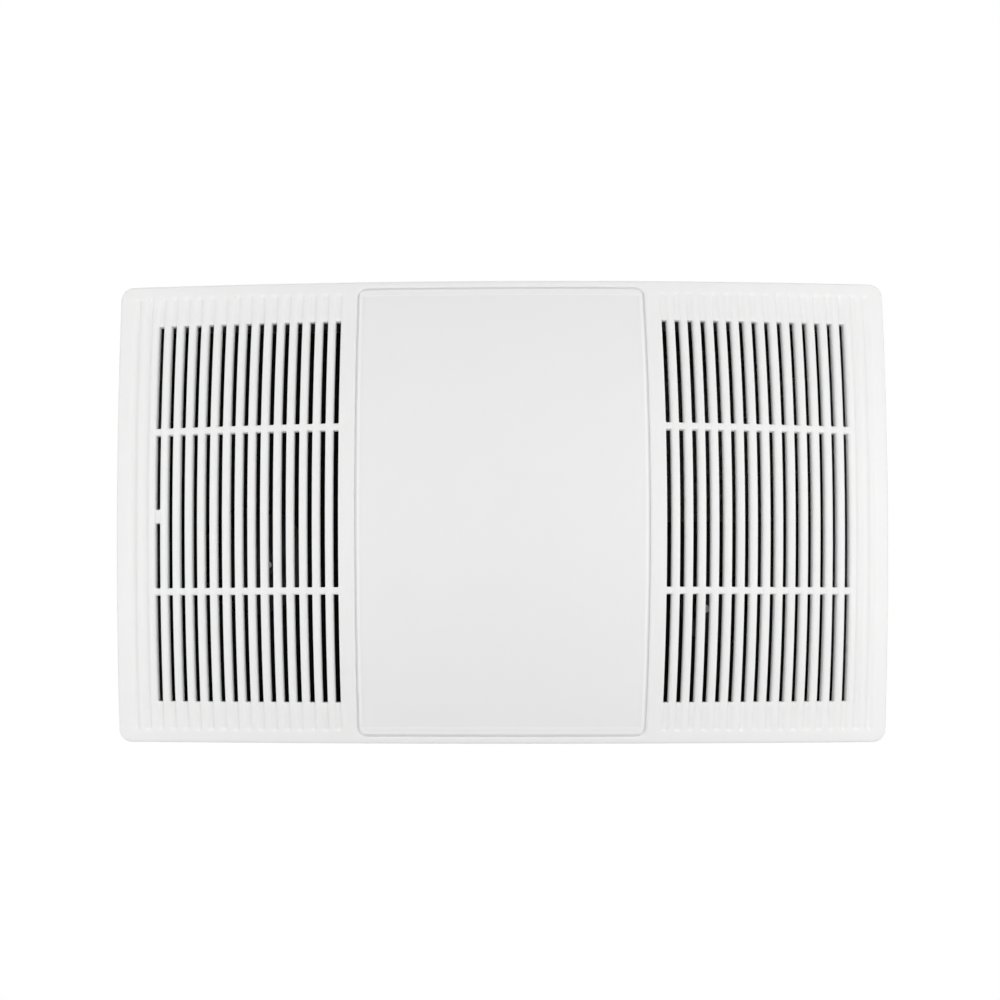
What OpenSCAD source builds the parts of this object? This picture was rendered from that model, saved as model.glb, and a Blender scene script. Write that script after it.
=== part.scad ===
// Ceiling unit for a bathroom: an exhaust fan, a fan-forced heater and a light behind one louvred grille.
// Millimetres. Z points up, z = 0 is the finished ceiling, and the origin is the middle of the housing's
// opening. The steel housing stands above the ceiling and the crowned grille hangs below it.
// Seen from below with +X to the right, the exhaust fan is on the left and the heater on the right.
// Front means the -Y side and back the +Y side.

/* [Grille] */
// Length of the grille
grille_l = 498; // [494:1:540]
// Width of the grille
grille_w = 298; // [294:1:330]
// Height of the grille's rim at its corners
rim_h = 4.4; // [3.6:0.1:12]
// Rise of the crown from its middle to the middle of an end
end_rise = 28.2; // [20:0.1:32]
// Rise of the crown from its middle to the middle of a long side
side_rise = 25; // [18:0.1:28]
// Rise of the crown from its middle to a corner
corner_rise = 35.6; // [33:0.1:44]
// Wall of the moulding
grille_wall = 2.5; // [2:0.1:3.2]
// Radius of the outline's corners
grille_r = 8.5; // [4:0.5:14]

/* [Louvres] */
// Open slots on each side
slot_count = 15; // [8:1:15]
// Distance from one slot to the next
slot_pitch = 8.31; // [7.6:0.01:8.5]
// Width of a slot and of a groove
slot_w = 3.7; // [2.6:0.1:4.4]
// Length of the slotted field
slot_len = 243.4; // [200:0.2:252]
// Land between the light panel and the first slot
louvre_land = 10.3; // [8:0.1:11]
// Depth of the ribs between the slots
rib_depth = 6; // [5:0.1:8]
// Blind grooves outboard of the slots on each side
blind_count = 2; // [0:1:2]
// Depth of the grooves
groove_depth = 1; // [0.5:0.1:1.4]
// Length of a groove from round end to round end
groove_len = 281.2; // [262:0.2:284]
// Width of the two bars that cross the slots
bar_w = 4.2; // [3:0.1:8]
// Distance between the cross-bars
bar_span = 102.8; // [60:0.2:150]
// Length of the web left in the outermost exhaust slot
web_len = 8.6; // [4:0.1:16]
// Offset of that web from the middle
web_y = 3; // [-20:0.5:20]

/* [Light panel] */
// Length of the light panel along X
panel_l = 181.4; // [172:0.2:184]
// Width of the light panel along Y
panel_w = 285.8; // [270:0.2:286]
// Thickness of the light panel
panel_t = 3; // [2:0.1:4]
// Radius of its corners
panel_r = 5; // [2:0.5:10]
// Width of the joint line round it
panel_gap = 1.2; // [0.8:0.1:1.6]
// How far its face stands proud of the grille
panel_proud = 0.6; // [0.2:0.1:1.2]
// Width of the lower border round the proud face
panel_border = 2; // [1:0.1:5]
// Length of the light's window behind the panel
window_l = 156; // [120:1:160]
// Width of the light's window behind the panel
window_w = 220; // [180:1:222]
// Thickness of the ledge that the panel seats on
ledge_t = 2.2; // [1.6:0.1:3]
// Length of a panel clip
clip_l = 10; // [6:0.5:20]
// Thickness of a panel clip
clip_t = 1.6; // [1.2:0.1:2.4]
// Distance between the clips of one side
clip_span = 110; // [60:1:130]

/* [Housing] */
// Length of the housing
housing_l = 460; // [454:1:466]
// Width of the housing
housing_w = 262; // [258:1:270]
// Height of the housing
housing_h = 146; // [142:1:190]
// Thickness of the galvanised sheet
sheet = 1; // [0.6:0.1:1.4]
// Radius of the housing's upright corners
housing_r = 4; // [3:0.5:8]
// Height of a pressed stiffening bead
bead_h = 1.2; // [0.6:0.1:2]
// Width of a pressed stiffening bead
bead_w = 10; // [6:0.5:14]
// Length of the short beads on the sides
side_bead_l = 90; // [40:1:100]
// Distance of their middles from the housing's ends
side_bead_in = 75; // [60:1:90]
// Clear length of the light bay between the partitions
bay_l = 185; // [180:1:188]
// Width of the flange under each partition
partition_flange = 9; // [7:0.5:11]
// Height of the partitions' lower edge above the ceiling
partition_z = 3; // [2:0.5:5]
// Height of the black front plates above the ceiling
plate_z = 33; // [30:0.5:34]
// Height of the front plates' upturned flanges
plate_flange = 12; // [10:0.5:16]

/* [Mounting] */
// Length of a mounting ear beyond the housing
ear_l = 21; // [19:0.5:36]
// Height of a mounting ear
ear_h = 100; // [90:1:110]
// Height of an ear's lower edge above the ceiling
ear_z = 14; // [6:1:20]
// Width of an ear's welded foot
ear_foot = 18; // [12:1:24]
// Distance between an ear's two screw holes
ear_pitch = 65; // [40:1:72]
// Radius of the screw holes in the ears
ear_hole_r = 2.75; // [2:0.05:3.5]
// Distance of the screw holes from the housing's end
ear_hole_out = 12; // [8:0.5:14]

/* [Duct collar] */
// Outside radius of the collar that the duct slips over
collar_r = 49.5; // [47:0.1:50.5]
// Wall of the collar
collar_wall = 1.8; // [1.2:0.1:2.4]
// Length of the collar from the housing's end
collar_len = 30; // [20:1:60]
// Width of the square collar plate
collar_plate = 108; // [106:1:112]
// Thickness of the collar plate
collar_plate_t = 2; // [1.5:0.1:3]
// Height of the collar's axis above the ceiling
duct_z = 84; // [84:0.5:88]
// Distance of the damper's seat from the housing's end
seat_x = 8; // [6:0.5:14]
// Thickness of the damper's seat
seat_t = 2; // [1.5:0.1:3]
// Radius of the damper's opening
seat_r = 41.5; // [38:0.1:42]
// Radius of the damper flap
flap_r = 43.5; // [42.5:0.1:43.9]
// Thickness of the damper flap
flap_t = 1.5; // [1:0.1:2]
// Height of the damper's pin above the collar's axis
damper_rise = 22; // [18:0.5:24]
// Radius of the damper's pin
damper_pin_r = 1.2; // [1:0.05:1.4]
// Length of the flap's knuckle
knuckle_l = 60; // [30:1:64]

/* [Exhaust fan] */
// Radius of the exhaust wheel
exhaust_r = 48; // [42:0.5:50]
// Height of the exhaust wheel
exhaust_h = 60; // [40:1:66]
// Blades on the exhaust wheel
exhaust_blades = 36; // [24:1:40]
// Offset of the exhaust wheel's axis from the middle
exhaust_y = 28; // [22:1:34]
// Height of the exhaust scroll
exhaust_scroll_h = 80; // [76:1:80]
// Radius of the exhaust motor
exhaust_motor_r = 38; // [30:1:42]
// Height of the exhaust motor
exhaust_motor_h = 26; // [20:1:27]

/* [Heater] */
// Radius of the heater wheel
heater_r = 36; // [32:0.5:38]
// Height of the heater wheel
heater_h = 44; // [30:1:46]
// Blades on the heater wheel
heater_blades = 28; // [20:1:32]
// Height of the heater scroll
heater_scroll_h = 66; // [62:1:72]
// Radius of the heater motor
heater_motor_r = 30; // [24:1:34]
// Height of the heater motor
heater_motor_h = 34; // [28:1:36]
// Height of the heater's air duct
heater_duct_h = 81; // [76:1:100]
// Height of the element above the front plate
element_lift = 12; // [9:1:16]
// Height of the element's frame
element_h = 30; // [26:1:34]
// Wall of the element's frame
element_wall = 3; // [2:0.5:4]
// Rows of coils in each of the element's two layers
coil_rows = 8; // [5:1:9]
// Outside radius of a heating coil
heat_coil_r = 4; // [3:0.1:4.6]
// Border of the outlet window inside the duct
outlet_border = 9; // [7:0.5:14]
// Radius of the outlet guard's wires
guard_r = 1; // [0.8:0.1:1.4]
// Wires in the outlet guard
guard_wires = 9; // [5:1:12]
// Radius of the thermal cut-out
cutout_r = 9; // [7:0.5:11]

/* [Blower details] */
// Wall of the scrolls
scroll_wall = 1.2; // [0.8:0.1:1.8]
// Gap between a wheel and its scroll's tongue
tongue_gap = 5; // [4:0.5:6]
// Length of a blade
blade_l = 10; // [7:0.5:12]
// Thickness of a blade
blade_t = 0.8; // [0.6:0.1:1.2]
// Angle of the blades
blade_angle = 35; // [15:1:45]
// Height of the wheels above the front plates
wheel_lift = 8; // [7:0.5:10]
// Height of the inlet rings above the front plates
ring_h = 6; // [3:0.5:6]
// Width of the inlet rings' feet
ring_foot = 6; // [3:0.5:8]
// Radius of the motor shafts
shaft_r = 3; // [2.5:0.1:4]
// Radius of a wheel's hub
hub_r = 8; // [6:0.5:10]
// Height of a wheel's hub
hub_h = 18; // [12:1:22]
// Thickness of a wheel's back plate
wheel_plate_t = 1.5; // [1:0.1:2.5]
// Height of the ring at a wheel's eye
wheel_ring_h = 2; // [1.5:0.1:4]
// Radius of the rivets, screws and their holes in sheet
screw_r = 1.75; // [1.5:0.05:2]
// Length of the longer screws
long_screw = 6; // [5:0.5:10]
// Length of the shorter screws
short_screw = 4; // [3:0.5:6]

/* [Light] */
// Length of the light pan along X
pan_l = 160; // [140:1:162]
// Width of the light pan along Y
pan_w = 220; // [190:1:222]
// Height of the light pan
pan_h = 34; // [26:1:44]
// Thickness of the light board
board_t = 1.6; // [1:0.1:2.4]
// Margin between the light board and the pan
board_margin = 12; // [8:1:20]
// Chips along X on the light board
chips_x = 6; // [3:1:8]
// Chips along Y on the light board
chips_y = 8; // [4:1:10]
// Width of a chip
chip_w = 3; // [2:0.1:5]
// Thickness of a chip
chip_t = 0.7; // [0.5:0.1:1]
// Length of the light's driver
driver_l = 100; // [70:1:120]
// Width of the light's driver
driver_w = 56; // [40:1:70]
// Height of the light's driver
driver_h = 26; // [20:1:34]

/* [Wiring] */
// Length of the wiring box
wire_box_l = 110; // [90:1:130]
// Depth of the wiring box
wire_box_d = 34; // [30:1:50]
// Height of the wiring box
wire_box_h = 70; // [60:1:76]
// Height of the wiring box's lower edge above the ceiling
wire_box_z = 62; // [50:1:66]
// Offset of the wiring box from the middle
wire_box_x = -20; // [-40:1:20]
// Width of the wiring box's lugs for the cover's screws
wire_lug = 12; // [9:0.5:16]
// Width of the cover's lip and of the box's two feet
wire_lip = 8; // [5:0.5:12]
// Radius of a cable knock-out
knockout_r = 11.1; // [10.9:0.05:11.4]
// Radius of the hole for the leads
lead_hole_r = 12; // [8:0.5:13]
// Length of the receptacle block
receptacle_l = 52; // [40:1:60]
// Height of the receptacle block
receptacle_h = 18; // [14:1:22]
// Depth of the receptacle block
receptacle_d = 16; // [12:1:20]
// Radius of a pin's hole in it
receptacle_pin_r = 1.5; // [1:0.1:2]

/* [Springs] */
// Radius of the torsion springs' wire
wire_r = 0.8; // [0.6:0.05:0.8]
// Radius from a spring's axis to the middle of its wire
spring_r = 5; // [4:0.1:6]
// Turns in a spring, counting the part turn that the arms close
spring_turns = 4; // [2:1:4]
// Distance between two turns
spring_pitch = 2.1; // [2.05:0.05:2.3]
// Distance of a spring's middle from the housing's inner side
spring_inset = 7; // [6.5:0.5:9]
// Angle of a spring arm from upright with the grille up
arm_angle = 34; // [28:0.5:36]
// Length of a spring arm
arm_len = 104; // [100:1:110]
// Length of the bent tip of a spring arm
arm_tip = 7; // [4:0.5:9]
// Height of a spring bracket above its spring's axis
bracket_rise = 30; // [27:0.5:34]
// Length of the slot in a spring bracket
bracket_slot = 68; // [66:1:76]
// Depth of a spring bracket from the housing's wall
bracket_d = 16; // [15.5:0.5:17]
// Height of a spring bracket's upright leg
bracket_leg = 16; // [10:1:20]
// Thickness of the spring brackets and hooks
bracket_t = 1.2; // [1:0.1:1.6]

/* [Hidden] */
$fn = 48;

// Clearances
fit_gap = 0.05;
seat_gap = 0.3;
run_gap = 0.6;
side_gap = 0.5;

// Height that clears every solid, for cuts that go right through
through = 300;

// Inside faces of the housing and the partitions
in_x = housing_l / 2 - sheet;
in_y = housing_w / 2 - sheet;
in_z = housing_h - sheet;
bay_x = bay_l / 2;
wall_x = bay_x + sheet;
side_bay = in_x - wall_x;
plate_top = plate_z + sheet;

// Crown of the grille
grille_depth = corner_rise + rim_h;
grid_x = 16;
grid_y = 8;
function crown_rise(x, y) =
    let (u = 2 * x / grille_l, v = 2 * y / grille_w, blend = end_rise + side_rise - corner_rise)
    end_rise * u * u + side_rise * v * v - blend * u * u * v * v;
function face_z(x, y) = crown_rise(x, y) - grille_depth;

// Louvres and light panel
panel_seat = panel_t + seat_gap;
ledge_back = panel_seat + ledge_t;
first_slot_x = panel_l / 2 + panel_gap + louvre_land + slot_w / 2;
last_slot_x = first_slot_x + (slot_count - 1) * slot_pitch;
groove_r = slot_w / 2;
bar_y = bar_span / 2;

// Duct collar and damper
collar_in_r = collar_r - collar_wall;
outer_x = housing_l / 2;
outer_y = housing_w / 2;
damper_x = -outer_x - collar_plate_t - seat_x - seat_t - seat_gap - flap_t / 2;
damper_z = duct_z + damper_rise;
knuckle_r = damper_pin_r + 1;
damper_boss_r = damper_pin_r + 2;
flap_notch = damper_boss_r + 1.5;
pin_inset = 6;

// Exhaust scroll, which fills the length of its bay
tongue_angle = 225;
scroll_sweep = 315;
exhaust_tongue = exhaust_r + tongue_gap;
exhaust_spare = side_bay - 2 * (exhaust_tongue + scroll_wall + side_gap);
exhaust_growth = exhaust_spare * 7 / 6;
exhaust_x = -in_x + side_gap + scroll_wall + exhaust_tongue + exhaust_growth / 7;
exhaust_reach = exhaust_x + in_x;
duct_y = exhaust_y - (exhaust_tongue * (1 + sin(45)) + exhaust_growth) / 2;
exhaust_top = plate_top + exhaust_scroll_h;
exhaust_eye = exhaust_r - blade_l;

// Heater scroll and duct, which fill the width of their bay, clear of the front plate's screw heads
heater_tongue = heater_r + tongue_gap;
heater_spare = side_bay - 2 * (heater_tongue + scroll_wall + side_gap);
heater_growth = heater_spare * 7 / 10;
heater_x = in_x - side_gap - scroll_wall - heater_tongue - heater_growth;
heater_y = in_y - sheet - side_gap - scroll_wall - heater_tongue - heater_growth * 5 / 7;
heater_reach = heater_tongue + heater_growth / 7 + scroll_wall + 3;
heater_top = plate_top + heater_scroll_h;
heater_eye = heater_r - blade_l;
heat_x0 = wall_x + side_gap;
heat_x1 = in_x - side_gap;
heat_y0 = -in_y + 2 * sheet + 1.1 * screw_r + seat_gap;
heat_y1 = heater_y - heater_reach;
heat_top = plate_top + heater_duct_h;
element_z = plate_top + element_lift;

// Light
pan_x = pan_l / 2;
pan_y = pan_w / 2;
pan_z = partition_z - sheet;
pan_top = pan_z + pan_h;

// Wiring box
wire_x0 = wire_box_x - wire_box_l / 2;
wire_x1 = wire_box_x + wire_box_l / 2;
wire_y1 = outer_y + wire_box_d;
wire_z1 = wire_box_z + wire_box_h;
wire_mid_y = outer_y + wire_box_d / 2;
wire_mid_z = wire_box_z + wire_box_h / 2;

// Springs, which hang from hooks on flat bosses behind the light panel's ledge
spring_y = in_y - spring_inset;
boss_l = 26;
boss_w = 14;
boss_z = face_z(0, spring_y + boss_w / 2) + ledge_back + 0.6;
spring_z = boss_z + bracket_t + spring_r + wire_r + 1;
spring_start = 180 + arm_angle;
spring_sweep = 360 * spring_turns - 180 - 2 * arm_angle;
spring_len = spring_pitch * spring_sweep / 360;
hook_pin_r = spring_r - wire_r - seat_gap;
bracket_z = spring_z + bracket_rise;

module span(low, high) {
    translate(low) cube(high - low);
}

// Plain rectangle with round corners, centred on the origin
module rounded_rect(l, w, r, steps = $fn) {
    square([l - 2 * r, w], center = true);
    square([l, w - 2 * r], center = true);
    for (x = [-1, 1], y = [-1, 1]) {
        translate([x * (l / 2 - r), y * (w / 2 - r)]) circle(r = r, $fn = steps);
    }
}

module rounded_block(l, w, r, z0, z1, steps = $fn) {
    translate([0, 0, z0]) linear_extrude(z1 - z0) rounded_rect(l, w, r, steps);
}

// Screw with its head's underside at z = 0, shank down and a cross recess on top
module screw(len, r = screw_r) {
    difference() {
        cylinder(r = 2 * r, h = 1.1 * r);
        for (a = [0, 90]) {
            rotate(a) translate([-1.2 * r, -0.2 * r, 0.5 * r]) cube([2.4 * r, 0.4 * r, r]);
        }
    }
    translate([0, 0, -len]) cylinder(r = r, h = len);
}

module screw_hole(len, r = screw_r) {
    translate([0, 0, -len]) cylinder(r = r + fit_gap, h = 2 * len);
}

// Solid between two copies of the crown, or between the crown and a flat top
module crown_layer(low, high, flat_top = undef) {
    nx = grid_x + 1;
    ny = grid_y + 1;
    xs = [for (i = [0:grid_x]) grille_l * (i / grid_x - 0.5)];
    ys = [for (j = [0:grid_y]) grille_w * (j / grid_y - 0.5)];
    points = concat(
        [for (y = ys) for (x = xs) [x, y, face_z(x, y) + low]],
        [for (y = ys) for (x = xs) [x, y, is_undef(flat_top) ? face_z(x, y) + high : flat_top]]
    );
    top = nx * ny;
    function at(i, j, k) = i + nx * j + top * k;
    function quad(a, b, c, d) = [[a, b, c], [a, c, d]];
    faces = [
        for (i = [0:grid_x - 1], j = [0:grid_y - 1])
            each quad(at(i, j, 0), at(i + 1, j, 0), at(i + 1, j + 1, 0), at(i, j + 1, 0)),
        for (i = [0:grid_x - 1], j = [0:grid_y - 1])
            each quad(at(i, j, 1), at(i, j + 1, 1), at(i + 1, j + 1, 1), at(i + 1, j, 1)),
        for (i = [0:grid_x - 1])
            each quad(at(i, 0, 0), at(i, 0, 1), at(i + 1, 0, 1), at(i + 1, 0, 0)),
        for (i = [0:grid_x - 1])
            each quad(at(i, grid_y, 0), at(i + 1, grid_y, 0), at(i + 1, grid_y, 1), at(i, grid_y, 1)),
        for (j = [0:grid_y - 1])
            each quad(at(0, j, 0), at(0, j + 1, 0), at(0, j + 1, 1), at(0, j, 1)),
        for (j = [0:grid_y - 1])
            each quad(at(grid_x, j, 0), at(grid_x, j, 1), at(grid_x, j + 1, 1), at(grid_x, j + 1, 0))
    ];
    polyhedron(points = points, faces = faces);
}

// Slot cutter from y0 to y1, right through the moulding
module slot_cut(x, y0, y1) {
    span([x - groove_r, y0, -through], [x + groove_r, y1, through]);
}

// Grooves run on past the slots to round ends, and the outboard ones are grooves only
module groove_cuts() {
    reach = groove_len / 2 - groove_r;
    inner = slot_len / 2 - 1;
    for (side = [-1, 1], i = [0:slot_count - 1], end = [-1, 1]) {
        translate([side * (first_slot_x + i * slot_pitch), 0, -through / 2]) hull() {
            translate([0, end * reach, 0]) cylinder(r = groove_r, h = through, $fn = 8);
            translate([-groove_r, end * inner - 0.5, 0]) cube([slot_w, 1, through]);
        }
    }
    for (side = [-1, 1], i = [1:1:blind_count]) {
        translate([side * (last_slot_x + i * slot_pitch), 0, -through / 2]) hull() {
            for (end = [-1, 1]) {
                translate([0, end * reach, 0]) cylinder(r = groove_r, h = through, $fn = 8);
            }
        }
    }
}

module slot_cuts() {
    end_y = slot_len / 2;
    bar_in = bar_y - bar_w / 2;
    bar_out = bar_y + bar_w / 2;
    for (side = [-1, 1], i = [0:slot_count - 1]) {
        x = side * (first_slot_x + i * slot_pitch);
        slot_cut(x, -end_y, -bar_out);
        slot_cut(x, bar_out, end_y);
        if (side < 0 && i == slot_count - 1) {
            slot_cut(x, -bar_in, web_y - web_len / 2);
            slot_cut(x, web_y + web_len / 2, bar_in);
        } else {
            slot_cut(x, -bar_in, bar_in);
        }
    }
}

// White moulding: a crowned shell with a rim to the ceiling, ribs between the slots, a recess with a
// ledge for the light panel, locating posts that meet the housing's edge and bosses for the springs
module grille() color("white") difference() {
    union() {
        difference() {
            intersection() {
                crown_layer(0, 0, flat_top = 0);
                rounded_block(grille_l, grille_w, grille_r, -through, 0, 24);
            }
            intersection() {
                crown_layer(grille_wall, 0, flat_top = 1);
                rounded_block(grille_l - 2 * grille_wall, grille_w - 2 * grille_wall,
                    grille_r - grille_wall, -through, 1, 16);
            }
        }
        intersection() {
            crown_layer(grille_wall / 2, rib_depth);
            for (side = [-1, 1]) {
                middle = side * (first_slot_x + last_slot_x) / 2;
                half = (last_slot_x - first_slot_x) / 2 + slot_w;
                span([middle - half, -slot_len / 2 - 3, -through], [middle + half, slot_len / 2 + 3, 0]);
            }
        }
        intersection() {
            crown_layer(grille_wall / 2, ledge_back);
            half_l = panel_l / 2 + panel_gap + ledge_t;
            half_w = min(panel_w / 2 + panel_gap + ledge_t, grille_w / 2 - 1);
            span([-half_l, -half_w, -through], [half_l, half_w, -1]);
        }
        intersection() {
            crown_layer(grille_wall / 2, 0, flat_top = -seat_gap);
            union() {
                for (x = [-1, 1], y = [-1, 1]) {
                    translate([x * (outer_x - sheet / 2), y * housing_w / 5, 0])
                        span([-3, -1, -through], [3, 1, 0]);
                    translate([x * housing_l / 3, y * (outer_y - sheet / 2), 0])
                        span([-1, -3, -through], [1, 3, 0]);
                }
            }
        }
        intersection() {
            crown_layer(grille_wall / 2, 0, flat_top = boss_z);
            for (y = [-1, 1]) {
                translate([0, y * spring_y, 0])
                    span([-boss_l / 2, -boss_w / 2, -through], [boss_l / 2, boss_w / 2, 0]);
            }
        }
    }
    intersection() {
        crown_layer(-2, panel_seat);
        rounded_block(panel_l + 2 * panel_gap, panel_w + 2 * panel_gap,
            panel_r + panel_gap, -through, 0, 16);
    }
    span([-window_l / 2, -window_w / 2, -through], [window_l / 2, window_w / 2, 0]);
    slot_cuts();
    intersection() {
        crown_layer(-1, groove_depth);
        groove_cuts();
    }
    for (x = [-1, 1], y = [-1, 1]) {
        translate([x * boss_l / 3, y * spring_y, boss_z]) screw_hole(short_screw + 1);
    }
}

// White tile with a slightly proud face, held by four clips over the ledge
module light_panel() color("whitesmoke") {
    intersection() {
        crown_layer(0, panel_t);
        rounded_block(panel_l, panel_w, panel_r, -through, 0);
    }
    intersection() {
        crown_layer(-panel_proud, panel_t / 2);
        rounded_block(panel_l - 2 * panel_border, panel_w - 2 * panel_border,
            panel_r - panel_border / 2, -through, 0);
    }
    for (x = [-1, 1], y = [-1, 1]) {
        clip_y = window_w / 2 - seat_gap;
        foot_z = face_z(clip_span / 2, clip_y) + panel_t / 2;
        catch_z = face_z(clip_span / 2 + clip_l / 2, clip_y + clip_t) + ledge_back + run_gap;
        translate([x * clip_span / 2, 0, 0]) {
            span([-clip_l / 2, y > 0 ? clip_y - clip_t : -clip_y, foot_z],
                [clip_l / 2, y > 0 ? clip_y : clip_t - clip_y, catch_z + clip_t]);
            span([-clip_l / 2, y > 0 ? clip_y - clip_t : -clip_y - clip_t, catch_z],
                [clip_l / 2, y > 0 ? clip_y + clip_t : clip_t - clip_y, catch_z + clip_t]);
        }
    }
}

// Raised bead with round ends, along X on a face at z = 0
module bead(l) {
    linear_extrude(bead_h) {
        square([l - bead_w, bead_w], center = true);
        for (x = [-1, 1]) {
            translate([x * (l - bead_w) / 2, 0]) circle(r = bead_w / 2);
        }
    }
}

// Places of the screws that hold the front plates' flanges to the housing's sides
function plate_screw_spots() =
    [for (x = [-1, 1], end = [-1, 1]) [x * (wall_x + side_bay * (0.5 + 0.33 * end)), plate_top + plate_flange / 2]];

module plate_screw_frames() {
    for (spot = plate_screw_spots(), y = [-1, 1]) {
        translate([spot[0], y * (in_y - sheet), spot[1]]) rotate([y * 90, 0, 0]) children();
    }
}

// Places of the four screws that hold the collar
module collar_screw_frames() {
    inset = collar_plate / 2 - 6;
    for (y = [-1, 1], z = [-1, 1]) {
        translate([-outer_x - collar_plate_t, duct_y + y * inset, duct_z + z * inset])
            rotate([0, -90, 0]) children();
    }
}

// Galvanised steel box, open below, with pressed beads and its holes for duct, leads and screws
module housing() color("silver") difference() {
    union() {
        rounded_block(housing_l, housing_w, housing_r, 0, housing_h);
        for (y = [-1, 1]) {
            translate([0, y * housing_w / 4, housing_h]) bead(housing_l * 0.8);
            for (x = [-1, 1]) {
                translate([x * (outer_x - side_bead_in), y * outer_y, housing_h / 2])
                    rotate([y * -90, 0, 0]) bead(side_bead_l);
            }
        }
        translate([outer_x, 0, housing_h / 2]) rotate([0, 90, 0]) rotate(90) bead(housing_w * 0.6);
    }
    rounded_block(housing_l - 2 * sheet, housing_w - 2 * sheet, housing_r - sheet, -1, in_z);
    translate([-in_x + 1, duct_y, duct_z]) rotate([0, -90, 0]) cylinder(r = collar_in_r, h = 4);
    on_front() translate([wire_box_x, in_y - 1, wire_mid_z]) rotate([-90, 0, 0])
        cylinder(r = lead_hole_r + fit_gap, h = sheet + 2);
    collar_screw_frames() screw_hole(long_screw);
    plate_screw_frames() screw_hole(short_screw + 1);
}

// Four angle ears welded to the housing's ends, flush with its sides, screwed to the joists
module mounting_ears() color("silver") {
    for (x = [-1, 1], y = [-1, 1]) {
        mirror([x < 0 ? 1 : 0, 0, 0]) mirror([0, y < 0 ? 1 : 0, 0]) difference() {
            union() {
                span([outer_x, outer_y - sheet, ear_z], [outer_x + ear_l, outer_y, ear_z + ear_h]);
                span([outer_x, outer_y - ear_foot, ear_z], [outer_x + sheet, outer_y, ear_z + ear_h]);
            }
            for (end = [-1, 1]) {
                translate([outer_x + ear_hole_out, outer_y + 1, ear_z + (ear_h + end * ear_pitch) / 2])
                    rotate([90, 0, 0]) cylinder(r = ear_hole_r, h = sheet + 2);
            }
        }
    }
}

module damper_frame() {
    translate([damper_x, duct_y, damper_z]) rotate([90, 0, 0]) children();
}

// Black plastic adapter for round duct, with the damper's seat and two bosses for its pin
module duct_collar() color("dimgray") difference() {
    x0 = -outer_x;
    union() {
        span([x0 - collar_plate_t, duct_y - collar_plate / 2, duct_z - collar_plate / 2],
            [x0, duct_y + collar_plate / 2, duct_z + collar_plate / 2]);
        translate([x0, duct_y, duct_z]) rotate([0, -90, 0]) cylinder(r = collar_r, h = collar_len, $fn = 96);
    }
    difference() {
        translate([x0 + 1, duct_y, duct_z]) rotate([0, -90, 0])
            cylinder(r = collar_in_r, h = collar_len + 2, $fn = 96);
        difference() {
            translate([x0 - collar_plate_t - seat_x, duct_y, duct_z]) rotate([0, -90, 0])
                cylinder(r = collar_in_r + 0.5, h = seat_t);
            intersection() {
                translate([x0 - collar_plate_t - seat_x + 1, duct_y, duct_z]) rotate([0, -90, 0])
                    cylinder(r = seat_r, h = seat_t + 2);
                span([x0 - 40, duct_y - collar_r, duct_z - collar_r],
                    [x0, duct_y + collar_r, damper_z - knuckle_r]);
            }
            damper_frame() cylinder(r = knuckle_r + run_gap, h = knuckle_l + 2, center = true);
        }
        damper_frame() difference() {
            boss_end = sqrt(pow(collar_r - 0.4, 2) - pow(damper_rise + damper_boss_r, 2));
            cylinder(r = damper_boss_r, h = 2 * boss_end, center = true);
            cylinder(r = damper_boss_r + 1, h = knuckle_l + 2, center = true);
        }
    }
    damper_frame() cylinder(r = damper_pin_r + fit_gap, h = 2 * (collar_in_r - pin_inset), center = true);
    collar_screw_frames() screw_hole(long_screw);
}

module collar_screws() color("lightgray") collar_screw_frames() screw(long_screw);

module damper_pin() color("gray") damper_frame()
    cylinder(r = damper_pin_r, h = 2 * (collar_in_r - pin_inset - 1), center = true);

// Thin disc cut off at its pin, which hangs closed and swings out with the air
module damper_flap() color("darkgray") difference() {
    union() {
        intersection() {
            translate([damper_x + flap_t / 2, duct_y, duct_z]) rotate([0, -90, 0])
                cylinder(r = flap_r, h = flap_t);
            span([damper_x - 5, duct_y - collar_r, duct_z - collar_r],
                [damper_x + 5, duct_y + collar_r, damper_z]);
        }
        damper_frame() cylinder(r = knuckle_r, h = knuckle_l, center = true);
    }
    for (y = [-1, 1]) {
        middle = duct_y + y * (knuckle_l / 2 + 10);
        span([damper_x - 5, middle - 10, damper_z - flap_notch], [damper_x + 5, middle + 10, damper_z + 5]);
    }
    damper_frame() cylinder(r = damper_pin_r + fit_gap + 0.03, h = knuckle_l + 2, center = true);
}

// The wiring is on the front, and its pieces are drawn for the back and mirrored
module on_front() mirror([0, 1, 0]) children();

module wiring_screw_frames() {
    for (x = [-1, 1]) {
        translate([wire_box_x + x * (wire_box_l / 2 - sheet - wire_lug / 2), wire_y1 + sheet, wire_mid_z])
            rotate([-90, 0, 0]) children();
    }
}

module knockout_frame(x) {
    translate([x, wire_mid_y, wire_mid_z]) rotate([0, 90, 0]) children();
}

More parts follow.
